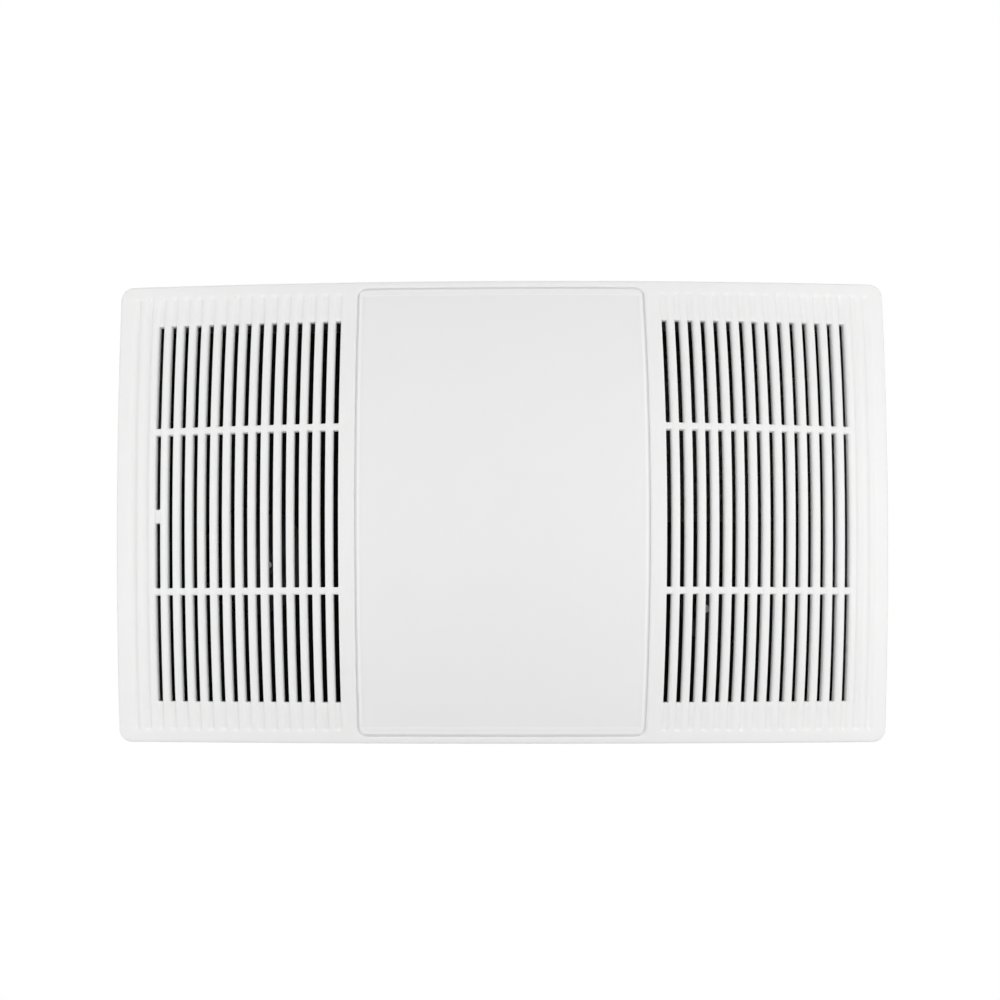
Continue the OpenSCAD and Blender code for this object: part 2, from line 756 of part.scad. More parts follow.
// Steel wiring box on the housing's front, with a lug for each cover screw and a knock-out at each end
module wiring_box() color("silver") on_front() difference() {
    union() {
        difference() {
            span([wire_x0, outer_y, wire_box_z], [wire_x1, wire_y1, wire_z1]);
            span([wire_x0 + sheet, outer_y - 1, wire_box_z + sheet], [wire_x1 - sheet, wire_y1 + 1, wire_z1 - sheet]);
        }
        for (x = [wire_x0 + sheet, wire_x1 - sheet - wire_lug]) {
            span([x, wire_y1 - sheet, wire_mid_z - 8], [x + wire_lug, wire_y1, wire_mid_z + 8]);
        }
        span([wire_x0, outer_y, wire_z1], [wire_x1, outer_y + sheet, wire_z1 + wire_lip]);
        span([wire_x0, outer_y, wire_box_z - wire_lip], [wire_x1, outer_y + sheet, wire_box_z]);
    }
    knockout_frame(wire_x1) cylinder(r = knockout_r, h = 4 * sheet, center = true);
    knockout_frame(wire_x0) cylinder(r = knockout_r, h = 4 * sheet, center = true);
    wiring_screw_frames() screw_hole(long_screw);
}

// Flat lid with a lip over the box's upper edge
module wiring_cover() color("silver") on_front() difference() {
    lip_z = wire_z1 + fit_gap;
    union() {
        span([wire_x0, wire_y1, wire_box_z], [wire_x1, wire_y1 + sheet, lip_z + sheet]);
        span([wire_x0, wire_y1 - wire_lip, lip_z], [wire_x1, wire_y1 + sheet, lip_z + sheet]);
    }
    wiring_screw_frames() screw_hole(long_screw);
}

module wiring_cover_screws() color("lightgray") on_front() wiring_screw_frames() screw(long_screw);

// The blank that still fills the second knock-out
module knockout_slug() color("silver") on_front() knockout_frame(wire_x0 + sheet / 2)
    cylinder(r = knockout_r - 2 * fit_gap, h = sheet, center = true);

// Snap bushing for the leads between the wiring box and the housing
module lead_bushing() color("dimgray") on_front()
    translate([wire_box_x, in_y, wire_mid_z]) rotate([-90, 0, 0]) difference() {
        union() {
            translate([0, 0, -1.6]) cylinder(r = lead_hole_r + 1.5, h = 1.6);
            cylinder(r = lead_hole_r, h = sheet);
            translate([0, 0, sheet]) cylinder(r = lead_hole_r + 3, h = 1.6);
        }
        translate([0, 0, -5]) cylinder(r = lead_hole_r - 2.5, h = 10 + sheet);
    }

// Block of three two-pin receptacles for the plugs of the fan, the heater and the light
module receptacle_block() color("ivory") on_front() {
    x0 = wire_box_x + lead_hole_r + 10;
    difference() {
        span([x0, in_y - receptacle_d, wire_mid_z - receptacle_h / 2],
            [x0 + receptacle_l, in_y, wire_mid_z + receptacle_h / 2]);
        for (i = [0:2], z = [-1, 1]) {
            translate([x0 + receptacle_l * (i + 0.5) / 3, in_y - receptacle_d - 1, wire_mid_z + 3.5 * z])
                rotate([-90, 0, 0]) cylinder(r = receptacle_pin_r, h = receptacle_d - 4);
        }
    }
}

// Bent steel partition beside the light bay, with a flange that carries the light pan
module partition(side) difference() {
    mirror([side < 0 ? 1 : 0, 0, 0]) {
        span([bay_x, -in_y, partition_z], [bay_x + sheet, in_y, in_z]);
        span([bay_x - partition_flange, -in_y + housing_r, partition_z],
            [bay_x + 0.5 * sheet, in_y - housing_r, partition_z + sheet]);
    }
    pan_screw_frames() screw_hole(short_screw + 1);
}

module exhaust_partition() color("silver") partition(-1);
module heater_partition() color("silver") partition(1);

module pan_screw_frames() {
    for (x = [-1, 1], y = [-1, 1]) {
        translate([x * (bay_x - partition_flange / 2), y * pan_w / 3, pan_z]) rotate([180, 0, 0]) children();
    }
}

// Black plate behind the louvres, with two flanges screwed to the housing's sides
module front_plate(side) difference() {
    mirror([side < 0 ? 1 : 0, 0, 0]) {
        span([wall_x, -in_y, plate_z], [in_x, in_y, plate_top]);
        for (y = [-1, 1]) {
            low = y > 0 ? in_y - sheet : -in_y;
            span([wall_x + housing_r, low, plate_z], [in_x - housing_r, low + sheet, plate_top + plate_flange]);
        }
    }
    plate_corner_cuts(side);
    plate_screw_frames() screw_hole(short_screw + 1);
}

// The plate's outer corners clear the bends of the housing
module plate_corner_cuts(side) {
    for (y = [-1, 1]) {
        translate([side * in_x, y * in_y, 0])
            cube([2 * housing_r, 2 * housing_r, through], center = true);
    }
}

module exhaust_front_plate() color([0.05, 0.05, 0.05]) difference() {
    front_plate(-1);
    translate([exhaust_x, exhaust_y, plate_z - 1]) cylinder(r = exhaust_eye, h = sheet + 2);
}

// The heater plate also has the window of the hot-air outlet
module heater_front_plate() color([0.05, 0.05, 0.05]) difference() {
    front_plate(1);
    translate([heater_x, heater_y, plate_z - 1]) cylinder(r = heater_eye, h = sheet + 2);
    span([heat_x0 + outlet_border, heat_y0 + outlet_border, 0],
        [heat_x1 - outlet_border, heat_y1 - outlet_border, plate_top + 1]);
}

// Spun ring on a front plate that leads the air up to a wheel's eye
module inlet_ring(x, y, eye) translate([x, y, plate_top]) difference() {
    union() {
        cylinder(r = eye + ring_foot, h = sheet);
        cylinder(r = eye + sheet, h = ring_h);
    }
    translate([0, 0, -1]) cylinder(r = eye, h = ring_h + 2);
}

module exhaust_inlet_ring() color("dimgray") inlet_ring(exhaust_x, exhaust_y, exhaust_eye);
module heater_inlet_ring() color("silver") inlet_ring(heater_x, heater_y, heater_eye);

module plate_screws() color("lightgray") plate_screw_frames() screw(short_screw);

// Spiral of a scroll round the wheel's axis, from the tongue to the mouth on the -X side
function spiral(tongue, growth, wall) = [
    for (a = [0:15:scroll_sweep])
        (tongue + growth * a / scroll_sweep + wall) * [cos(tongue_angle - a), sin(tongue_angle - a)]
];

module scroll_shape(tongue, growth, reach, wall) {
    low = tongue + growth + wall;
    polygon(spiral(tongue, growth, wall));
    translate([-reach, -low]) square([reach, low - tongue * sin(45) + wall]);
}

// Scroll with a closed top, open below where the front plate closes it
module scroll(tongue, growth, reach, h) difference() {
    linear_extrude(h) scroll_shape(tongue, growth, reach, scroll_wall);
    translate([0, 0, -1]) linear_extrude(h - scroll_wall + 1) scroll_shape(tongue, growth, reach + 1, 0);
}

module motor_screw_frames(motor_r) {
    for (a = [0:120:359]) {
        rotate(a) translate([motor_r + 5, 0, 3]) children();
    }
}

// Exhaust scroll with a flange round its mouth that covers the duct's hole
module exhaust_scroll() color([0.15, 0.15, 0.16]) difference() {
    union() {
        translate([exhaust_x, exhaust_y, plate_top])
            scroll(exhaust_tongue, exhaust_growth, exhaust_reach, exhaust_scroll_h);
        difference() {
            span([-in_x, duct_y - collar_plate / 2, plate_top],
                [-in_x + scroll_wall, duct_y + collar_plate / 2, duct_z + collar_plate / 2]);
            translate([-in_x - 1, 0, plate_top - 1]) linear_extrude(exhaust_scroll_h - scroll_wall + 1)
                translate([0, exhaust_y - exhaust_tongue - exhaust_growth])
                    square([scroll_wall + 2, exhaust_growth + exhaust_tongue * (1 - sin(45))]);
        }
    }
    translate([exhaust_x, exhaust_y, exhaust_top - 5]) cylinder(r = shaft_r + 2, h = 10);
    translate([exhaust_x, exhaust_y, exhaust_top])
        motor_screw_frames(exhaust_motor_r) screw_hole(long_screw);
    collar_screw_frames() screw_hole(long_screw);
}

// Back plate with a hub, and the ring at the eye. The blades join the two.
module blower_wheel(r, h) {
    difference() {
        union() {
            translate([0, 0, h - wheel_plate_t]) cylinder(r = r, h = wheel_plate_t);
            translate([0, 0, h - hub_h]) cylinder(r = hub_r, h = hub_h);
        }
        translate([0, 0, h - hub_h - 1]) cylinder(r = shaft_r + fit_gap, h = hub_h + 2);
    }
    difference() {
        cylinder(r = r, h = wheel_ring_h);
        translate([0, 0, -1]) cylinder(r = r - blade_l * cos(blade_angle), h = wheel_ring_h + 2);
    }
}

// Forward blades of sheet, crimped between the ring and the back plate
module blower_blades(r, h, blades) {
    for (i = [0:blades - 1]) {
        rotate(360 * i / blades)
            translate([r - blade_l * cos(blade_angle) / 2 - blade_t, 0, wheel_ring_h])
                rotate(blade_angle) translate([-blade_l / 2, -blade_t / 2, 0])
                    cube([blade_l, blade_t, h - wheel_ring_h - wheel_plate_t]);
    }
}

module exhaust_wheel_frame() translate([exhaust_x, exhaust_y, plate_top + wheel_lift]) children();
module heater_wheel_frame() translate([heater_x, heater_y, plate_top + wheel_lift]) children();

module exhaust_wheel() color("gray") exhaust_wheel_frame() blower_wheel(exhaust_r, exhaust_h);
module exhaust_wheel_blades() color("gray") exhaust_wheel_frame()
    blower_blades(exhaust_r, exhaust_h, exhaust_blades);

module heater_wheel() color("silver") heater_wheel_frame() blower_wheel(heater_r, heater_h);
module heater_wheel_blades() color("silver") heater_wheel_frame()
    blower_blades(heater_r, heater_h, heater_blades);

// Motor can on three lugs, with a bore for its shaft
module motor(r, h) difference() {
    union() {
        cylinder(r = r, h = h);
        translate([0, 0, h]) cylinder(r = r * 0.35, h = 3);
        for (a = [0:120:359]) {
            rotate(a) {
                translate([0, -6, 0]) cube([r + 5, 12, 3]);
                translate([r + 5, 0, 0]) cylinder(r = 6, h = 3);
            }
        }
    }
    translate([0, 0, -1]) cylinder(r = shaft_r + fit_gap, h = h - 3);
    motor_screw_frames(r) screw_hole(long_screw);
}

module exhaust_motor() color("dimgray") translate([exhaust_x, exhaust_y, exhaust_top])
    motor(exhaust_motor_r, exhaust_motor_h);

module heater_motor() color("dimgray") translate([heater_x, heater_y, heater_top])
    motor(heater_motor_r, heater_motor_h);

module exhaust_motor_screws() color("lightgray") translate([exhaust_x, exhaust_y, exhaust_top])
    motor_screw_frames(exhaust_motor_r) screw(long_screw);

module heater_motor_screws() color("lightgray") translate([heater_x, heater_y, heater_top])
    motor_screw_frames(heater_motor_r) screw(long_screw);

// Shaft from the hub's lower face into the motor's bore
module shaft(x, y, wheel_h, scroll_h, motor_h) {
    z0 = plate_top + wheel_lift + wheel_h - hub_h;
    z1 = plate_top + scroll_h + motor_h - 6;
    translate([x, y, z0]) cylinder(r = shaft_r, h = z1 - z0);
}

module exhaust_shaft() color("lightgray")
    shaft(exhaust_x, exhaust_y, exhaust_h, exhaust_scroll_h, exhaust_motor_h);

module heater_shaft() color("lightgray")
    shaft(heater_x, heater_y, heater_h, heater_scroll_h, heater_motor_h);

// Heater scroll, which blows into the duct in front of it
module heater_scroll() color([0.35, 0.35, 0.36]) difference() {
    translate([heater_x, heater_y, plate_top]) rotate(90)
        scroll(heater_tongue, heater_growth, heater_reach, heater_scroll_h);
    translate([heater_x, heater_y, heater_top - 5]) cylinder(r = shaft_r + 2, h = 10);
    translate([heater_x, heater_y, heater_top])
        motor_screw_frames(heater_motor_r) screw_hole(long_screw);
}

// Steel box that takes the heater's air above the element and turns it down through it
module heater_duct() color("silver") difference() {
    span([heat_x0, heat_y0 - sheet, plate_top], [heat_x1, heat_y1, heat_top]);
    span([heat_x0 + sheet, heat_y0, plate_top - 1], [heat_x1 - sheet, heat_y1 - sheet, heat_top - sheet]);
    span([heater_x + heater_tongue * sin(45), heat_y1 - 2 * sheet, element_z + element_h],
        [heater_x + heater_tongue + heater_growth, heat_y1 + 1, heater_top - scroll_wall]);
}

// Mica frame inside the duct
module element_frame() color("tan") difference() {
    low = [heat_x0 + sheet + seat_gap, heat_y0 + seat_gap, element_z];
    high = [heat_x1 - sheet - seat_gap, heat_y1 - sheet - seat_gap, element_z + element_h];
    span(low, high);
    span(low + [element_wall, element_wall, -1], high + [-element_wall, -element_wall, 1]);
}

// Two layers of coils stretched from one side of the frame to the other
module heating_coils() color("darkgray") {
    x0 = heat_x0 + sheet + seat_gap + element_wall + fit_gap;
    x1 = heat_x1 - sheet - seat_gap - element_wall - fit_gap;
    room = heat_y1 - heat_y0 - 2 * element_wall - sheet;
    for (i = [0:coil_rows - 1], layer = [0.28, 0.72]) {
        translate([x0, heat_y0 + element_wall + room * (i + 0.5) / coil_rows, element_z + element_h * layer])
            rotate([0, 90, 0]) cylinder(r = heat_coil_r, h = x1 - x0);
    }
}

// Button thermostat on the duct's top, with two blade terminals
module thermal_cutout() color("silver") translate([(heat_x0 + heat_x1) / 2, (heat_y0 + heat_y1) / 2, heat_top]) {
    cylinder(r = cutout_r, h = 6);
    cylinder(r = cutout_r + 3, h = 1);
    for (x = [-1, 1]) {
        translate([x * 4 - 0.4, -3, 5]) cube([0.8, 6, 9]);
    }
}

// Wire guard over the outlet window
module outlet_guard() color("gray") {
    x0 = heat_x0 + sheet + seat_gap;
    x1 = heat_x1 - sheet - seat_gap;
    y0 = heat_y0 + outlet_border;
    y1 = heat_y1 - outlet_border;
    for (i = [0:guard_wires - 1]) {
        translate([x0 + 2, y0 + (y1 - y0) * (i + 0.5) / guard_wires, plate_top + guard_r + seat_gap])
            rotate([0, 90, 0]) cylinder(r = guard_r, h = x1 - x0 - 4);
    }
    for (x = [x0 + 1, x1 - 4]) {
        span([x, y0, plate_top], [x + 3, y1, plate_top + 2 * guard_r + 1]);
    }
}

// White steel pan that throws the light down through the panel
module light_pan() color("white") difference() {
    union() {
        rounded_block(pan_l, pan_w, 6, pan_z, pan_top);
        span([-bay_x, -pan_y + 10, pan_z], [bay_x, pan_y - 10, pan_z + sheet]);
    }
    rounded_block(pan_l - 2 * sheet, pan_w - 2 * sheet, 6 - sheet, pan_z - 1, pan_top - sheet);
    pan_screw_frames() screw_hole(short_screw + 1);
    driver_screw_frames() screw_hole(short_screw);
}

module pan_screws() color("lightgray") pan_screw_frames() screw(short_screw);

module light_board() color("white")
    span([-pan_x + board_margin, -pan_y + board_margin, pan_top - sheet - board_t],
        [pan_x - board_margin, pan_y - board_margin, pan_top - sheet]);

module light_chips() color("gold") {
    field_x = pan_l - 2 * board_margin;
    field_y = pan_w - 2 * board_margin;
    for (i = [0:chips_x - 1], j = [0:chips_y - 1]) {
        translate([field_x * ((i + 0.5) / chips_x - 0.5), field_y * ((j + 0.5) / chips_y - 0.5),
            pan_top - sheet - board_t - chip_t / 2]) cube([chip_w, chip_w, chip_t], center = true);
    }
}

module driver_screw_frames() {
    for (x = [-1, 1]) {
        translate([x * (driver_l / 2 - 6), 0, pan_top + 2]) children();
    }
}

// Plastic driver case with a screw lug at each end
module light_driver() color("white") difference() {
    union() {
        span([-driver_l / 2 + 12, -driver_w / 2, pan_top], [driver_l / 2 - 12, driver_w / 2, pan_top + driver_h]);
        span([-driver_l / 2, -7, pan_top], [driver_l / 2, 7, pan_top + 2]);
    }
    driver_screw_frames() screw_hole(short_screw);
}

module driver_screws() color("lightgray") driver_screw_frames() screw(2 + sheet);

// Angle bracket on the housing's side, slotted for both arms of a spring
module spring_bracket(side) mirror([0, side < 0 ? 1 : 0, 0]) difference() {
    half = bracket_slot / 2 + 8;
    union() {
        span([-half, in_y - bracket_d, bracket_z], [half, in_y, bracket_z + bracket_t]);
        span([-half, in_y - bracket_t, bracket_z], [half, in_y, bracket_z + bracket_leg]);
    }
    translate([0, spring_y, bracket_z]) {
        slot_half_w = spring_len / 2 + wire_r + run_gap;
        span([-bracket_slot / 2, -slot_half_w, -5], [bracket_slot / 2, slot_half_w, bracket_t + 1]);
    }
}

module spring_bracket_front() color("silver") spring_bracket(-1);
module spring_bracket_back() color("silver") spring_bracket(1);

// Steel hook on a boss of the grille, with the pin that carries a coil
module spring_hook(side) mirror([0, side < 0 ? 1 : 0, 0]) translate([0, spring_y, 0]) {
    inner = spring_len / 2 + wire_r + seat_gap;
    difference() {
        span([-boss_l / 2, -inner - bracket_t, boss_z], [boss_l / 2, inner, boss_z + bracket_t]);
        for (x = [-1, 1]) {
            translate([x * boss_l / 3, 0, boss_z]) screw_hole(short_screw + 1);
        }
    }
    span([-spring_r, -inner - bracket_t, boss_z], [spring_r, -inner, spring_z]);
    translate([0, -inner - bracket_t, spring_z]) rotate([-90, 0, 0]) cylinder(r = spring_r, h = bracket_t);
    translate([0, -inner - bracket_t, spring_z]) rotate([-90, 0, 0])
        cylinder(r = hook_pin_r, h = 2 * inner + bracket_t);
}

module spring_hook_front() color("lightgray") spring_hook(-1);
module spring_hook_back() color("lightgray") spring_hook(1);

module hook_screws() color("lightgray") for (x = [-1, 1], y = [-1, 1]) {
    translate([x * boss_l / 3, y * spring_y, boss_z + bracket_t]) screw(short_screw + 1);
}

// One unbroken six-sided tube of wire, wound round the Y axis from one arm's tangent to the other's
coil_rings = ceil(8 * spring_sweep / 360);
function coil_angle(n) = spring_start + spring_sweep * n / coil_rings;
function coil_point(n) =
    [spring_r * cos(coil_angle(n)), spring_len * (n / coil_rings - 0.5), spring_r * sin(coil_angle(n))];
coil_self_gap = min([
    for (a = [0:coil_rings], b = [a + 6:1:coil_rings]) norm(coil_point(a) - coil_point(b)) - 2 * wire_r
]);
echo(least_gap_between_spring_turns = coil_self_gap);

module spring_coil(side) translate([0, side * spring_y, spring_z]) {
    points = [
        for (n = [0:coil_rings], k = [0:5])
            let (out = [cos(coil_angle(n)), 0, sin(coil_angle(n))])
            coil_point(n) + wire_r * (cos(60 * k) * out + sin(60 * k) * [0, 1, 0])
    ];
    last = 6 * coil_rings;
    faces = concat(
        [for (k = [1:4]) [0, k + 1, k]],
        [for (k = [1:4]) [last, last + k, last + k + 1]],
        [
            for (n = [0:coil_rings - 1], k = [0:5])
                let (m = (k + 1) % 6, p = 6 * n)
                each [[p + k, p + m, p + 6 + m], [p + k, p + 6 + m, p + 6 + k]]
        ]
    );
    polyhedron(points = points, faces = faces);
}

module spring_coil_front() color("gray") spring_coil(-1);
module spring_coil_back() color("gray") spring_coil(1);

// Straight arm of a spring, leaving the coil at a tangent, with a tip bent outward
module spring_arm(side, end) translate([0, side * spring_y, spring_z]) mirror([end < 0 ? 1 : 0, 0, 0]) {
    rotate([0, arm_angle, 0]) translate([spring_r, end * spring_len / 2, 0]) {
        translate([0, 0, seat_gap]) cylinder(r = wire_r, h = arm_len - seat_gap, $fn = 24);
        translate([0, 0, arm_len]) sphere(r = wire_r, $fn = 24);
        translate([0, 0, arm_len]) rotate([0, 70, 0]) cylinder(r = wire_r, h = arm_tip, $fn = 24);
    }
}

module spring_arm_front_left() color("gray") spring_arm(-1, -1);
module spring_arm_front_right() color("gray") spring_arm(-1, 1);
module spring_arm_back_left() color("gray") spring_arm(1, -1);
module spring_arm_back_right() color("gray") spring_arm(1, 1);

housing();
mounting_ears();
duct_collar();
collar_screws();
damper_pin();
damper_flap();
wiring_box();
wiring_cover();
wiring_cover_screws();
knockout_slug();
lead_bushing();
receptacle_block();
exhaust_partition();
heater_partition();
exhaust_front_plate();
heater_front_plate();
plate_screws();
exhaust_inlet_ring();
heater_inlet_ring();
exhaust_scroll();
exhaust_wheel();
exhaust_wheel_blades();
exhaust_shaft();
exhaust_motor();
exhaust_motor_screws();
heater_scroll();
heater_wheel();
heater_wheel_blades();
heater_shaft();
heater_motor();
heater_motor_screws();
heater_duct();
element_frame();
heating_coils();
thermal_cutout();
outlet_guard();
light_pan();
pan_screws();
light_board();
light_chips();
light_driver();
driver_screws();
spring_bracket_front();
spring_bracket_back();
grille();
light_panel();
spring_hook_front();
spring_hook_back();
hook_screws();
spring_coil_front();
spring_coil_back();
spring_arm_front_left();
spring_arm_front_right();
spring_arm_back_left();
spring_arm_back_right();
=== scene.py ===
"""A bathroom ceiling unit seen from below: exhaust fan, fan heater and light behind a white grille."""

import math

import bmesh
import bpy
import numpy as np
from mathutils import Matrix, Vector


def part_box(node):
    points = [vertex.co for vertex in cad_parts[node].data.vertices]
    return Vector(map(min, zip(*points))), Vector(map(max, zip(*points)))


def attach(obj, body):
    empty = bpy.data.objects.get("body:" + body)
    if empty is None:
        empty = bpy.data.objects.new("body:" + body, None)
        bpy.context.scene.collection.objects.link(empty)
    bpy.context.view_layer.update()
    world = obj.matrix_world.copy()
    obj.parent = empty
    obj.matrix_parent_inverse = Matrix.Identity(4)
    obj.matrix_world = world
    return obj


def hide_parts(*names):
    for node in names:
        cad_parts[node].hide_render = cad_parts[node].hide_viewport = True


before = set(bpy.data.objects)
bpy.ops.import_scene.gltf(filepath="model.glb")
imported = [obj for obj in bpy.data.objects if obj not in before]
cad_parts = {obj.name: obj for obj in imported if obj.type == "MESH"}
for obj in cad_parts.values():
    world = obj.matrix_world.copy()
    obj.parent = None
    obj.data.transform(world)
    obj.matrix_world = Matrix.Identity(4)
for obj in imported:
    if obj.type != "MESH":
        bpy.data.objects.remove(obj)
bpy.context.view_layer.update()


# Housing
# A deep box of 1 mm galvanised sheet, open below: one sheet bent over the top, with an end cap lapped over each
# end and spot-welded. Its beads are pressed, and the holes for the duct, the leads and the screws are punched.
class Signal:
    """A node's socket that can stand in an expression, in a finish or in a form."""

    def __init__(self, tree, socket=None):
        self.tree = tree
        self.socket = socket

    def node(self, kind, inputs=None, output=0, **settings):
        """Adds a node: its settings are set first, then its sockets get a value or a link."""
        made = self.tree.nodes.new(kind)
        for name, value in settings.items():
            setattr(made, name, value)
        for name, value in (inputs or {}).items():
            if isinstance(value, Signal):
                self.tree.links.new(value.socket, made.inputs[name])
            else:
                made.inputs[name].default_value = value
        return Signal(self.tree, made.outputs[output] if len(made.outputs) else None)

    def out(self, name):
        return Signal(self.tree, self.socket.node.outputs[name])

    def vector(self, **axes):
        return self.node("ShaderNodeCombineXYZ", axes)

    def maths(self, operation, *values):
        return self.node("ShaderNodeMath", dict(enumerate(values)), operation=operation)

    def __add__(self, other):
        return self.maths("ADD", self, other)

    __radd__ = __add__

    def __sub__(self, other):
        return self.maths("SUBTRACT", self, other)

    def __rsub__(self, other):
        return self.maths("SUBTRACT", other, self)

    def __mul__(self, other):
        return self.maths("MULTIPLY", self, other)

    __rmul__ = __mul__

    def __truediv__(self, other):
        return self.maths("DIVIDE", self, other)

    def noise(self, scale, detail=2.0, roughness=0.5):
        inputs = {"Vector": self, "Scale": scale, "Detail": detail, "Roughness": roughness}
        return self.node("ShaderNodeTexNoise", inputs)

    def between(self, low, high):
        """0 below low, 1 above high and smooth between, which turns a noise into patches."""
        return self.node("ShaderNodeMapRange", {0: self, 1: low, 2: high}, interpolation_type="SMOOTHSTEP")

    def tint(self, low, high):
        """From one colour to the other as this goes from 0 to 1."""
        return self.node("ShaderNodeMix", {0: self, 6: (*low, 1.0), 7: (*high, 1.0)}, 2, data_type="RGBA")

    def relief(self, distance, strength):
        return self.node("ShaderNodeBump", {"Height": self, "Distance": distance, "Strength": strength})


def emptied(owner):
    """The start of a new tree of shader nodes in a material or a world."""
    owner.use_nodes = True
    owner.node_tree.nodes.clear()
    return Signal(owner.node_tree)


finishes = {}


def new_finish(name):
    """Starts a material, and returns where a point lies on the object."""
    finishes[name] = bpy.data.materials.new(name)
    return emptied(finishes[name]).node("ShaderNodeTexCoord", output="Object")


def end_finish(place, colour, roughness, normal, **fixed):
    """Joins what varies to the shader. What is the same all over is set on the shader's own sockets."""
    inputs = {"Base Color": colour, "Roughness": roughness, "Normal": normal}
    inputs.update({name.replace("_", " "): value for name, value in fixed.items()})
    shader = place.node("ShaderNodeBsdfPrincipled", inputs)
    place.node("ShaderNodeOutputMaterial", {"Surface": shader})


def new_form(name, sizes):
    """A tree of geometry nodes with named inputs, and those inputs as signals."""
    tree = bpy.data.node_groups.new(name, "GeometryNodeTree")
    tree.interface.new_socket("Geometry", in_out="OUTPUT", socket_type="NodeSocketGeometry")
    kinds = {int: "Int", float: "Float", type(None): "Object"}
    sockets = {"Geometry": "Geometry", "Material": "Material", **{key: kinds[type(sizes[key])] for key in sizes}}
    for label, kind in sockets.items():
        made = tree.interface.new_socket(label, in_out="INPUT", socket_type="NodeSocket" + kind)
        if sizes.get(label) is not None:
            made.default_value = sizes[label]
    start = tree.nodes.new("NodeGroupInput")
    return tree, {socket.name: Signal(tree, socket) for socket in start.outputs if socket.name}


def end_form(geometry, material):
    """Every form ends with real geometry in its own material."""
    real = geometry.node("GeometryNodeRealizeInstances", {"Geometry": geometry})
    painted = real.node("GeometryNodeSetMaterial", {"Geometry": real, "Material": material})
    painted.node("NodeGroupOutput", {"Geometry": painted})


def linked(name, data):
    """A new object in the scene."""
    made = bpy.data.objects.new(name, data)
    bpy.context.scene.collection.objects.link(made)
    return made


def plain_mesh(start):
    """What an object's modifiers make of it, as a mesh. The object goes."""
    bpy.context.view_layer.update()
    graph = bpy.context.evaluated_depsgraph_get()
    mesh = bpy.data.meshes.new_from_object(start.evaluated_get(graph), depsgraph=graph)
    bpy.data.objects.remove(start)
    return mesh


def shape(name, tree, material, sizes=None, plan=None, smooth=35):
    """Runs a form on a plan and returns an object with the plain result."""
    start = linked(name + "_plan", plan or bpy.data.meshes.new(name + "_plan"))
    modifier = start.modifiers.new("form", "NODES")
    modifier.node_group = tree
    values = {"Material": material, **(sizes or {})}
    for item in tree.interface.items_tree:
        if item.item_type == "SOCKET" and item.in_out == "INPUT" and item.name in values:
            modifier[item.identifier] = values[item.name]
    return placed(name, plain_mesh(start), None, smooth)


def placed(name, mesh, material, smooth=35):
    """Puts a mesh in the scene, smooth across edges flatter than the angle."""
    mesh.name = name
    if material:
        mesh.materials.clear()
        mesh.materials.append(material)
    mesh.shade_smooth()
    mesh.set_sharp_from_angle(angle=math.radians(smooth))
    return linked(name, mesh)


def mirrored(*values):
    """The same lines on both sides of the middle, in order and each once."""
    return np.unique(np.round(np.array([*values, *(-v for v in values)]), 4))


def round_corner(x, y, length, width, radius, fade=0.0):
    """Bends a square grid so that the corners of a rectangle follow arcs, and fades out past them."""
    a, b = np.abs(x) - (length / 2 - radius), np.abs(y) - (width / 2 - radius)
    far, near = np.maximum(a, b), np.minimum(a, b)
    inside = (near > 0) & (far > 1e-9) & (far < radius + fade + 1e-6)
    turn = np.pi / 4 * near / np.where(inside, far, 1.0)
    wide = np.where(a >= b, np.cos(turn), np.sin(turn)) * far
    deep = np.where(a >= b, np.sin(turn), np.cos(turn)) * far
    share = np.clip(1.0 - (far - radius) / fade, 0, 1) if fade else 1.0
    share = inside * share
    return x + np.sign(x) * share * (wide - a), y + np.sign(y) * share * (deep - b)


def sheet_zinc(name, low, high, rough):
    """Hot-dipped sheet: crystals of zinc in slightly different greys, fine rolling marks and a few scuffs."""
    place = new_finish(name)
    crystal = place.node("ShaderNodeTexVoronoi", {"Vector": place, "Scale": 95.0}, 1)
    feather = place.node("ShaderNodeTexVoronoi", {"Vector": place, "Scale": 420.0}, 1)
    spangle = 0.72 * crystal + 0.28 * feather
    scuffs = place.noise(9.0, 5.0, 0.65).between(0.52, 0.72)
    grain = place.noise(900.0, 2.0)
    tone = 0.75 * spangle + 0.15 * grain + 0.2 * scuffs
    end_finish(place, tone.tint(low, high), rough + 0.16 * crystal + 0.1 * scuffs + 0.06 * grain,
               (0.5 * spangle + 0.2 * grain).relief(0.00003, 0.5), Metallic=1.0)


sheet_zinc("galvanised", (0.47, 0.49, 0.505), (0.67, 0.69, 0.7), 0.3)

# In millimetres. The flat parts end where the 4 mm corners and the 2 mm bend to the top start.
flat_x, flat_y, flat_z = 226, 127, 144
cap_x, weld_x, weld_y, weld_z = 217.9, 223, (-105, -35, 35, 105), (18, 58, 98, 134)
bead_z, side_bead_x, side_bead, end_bead, top_bead_y, top_bead = 73, 155, 40, 73.6, 65.5, 179
bead_steps = (0, 2.2, 3.0, 3.8, 4.6, 5.4)
weld_steps = (0, 1.0, 1.8, 2.4)


def around(middles, steps):
    """Lines that crowd on both sides of each middle."""
    return [m + s * step for m in middles for step in steps for s in (-1, 1)]


line_x = mirrored(0, *range(12, 216, 12), *around((weld_x,), weld_steps), cap_x, 218, 218.2, 218.5, flat_x,
                  *[top_bead + s for s in bead_steps], *[side_bead_x + side_bead + s for s in bead_steps],
                  *[side_bead_x - side_bead - s for s in bead_steps])
line_y = mirrored(0, 14, 48, 88, 96, 116, *around(weld_y[2:], weld_steps), *around((top_bead_y,), bead_steps),
                  *[end_bead + s for s in bead_steps], 122, flat_y)
line_z = np.unique(np.round([0, 8, 28, 50, 86, 110, 124, flat_z, *around((bead_z,), bead_steps),
                             *around(weld_z, weld_steps)], 3))


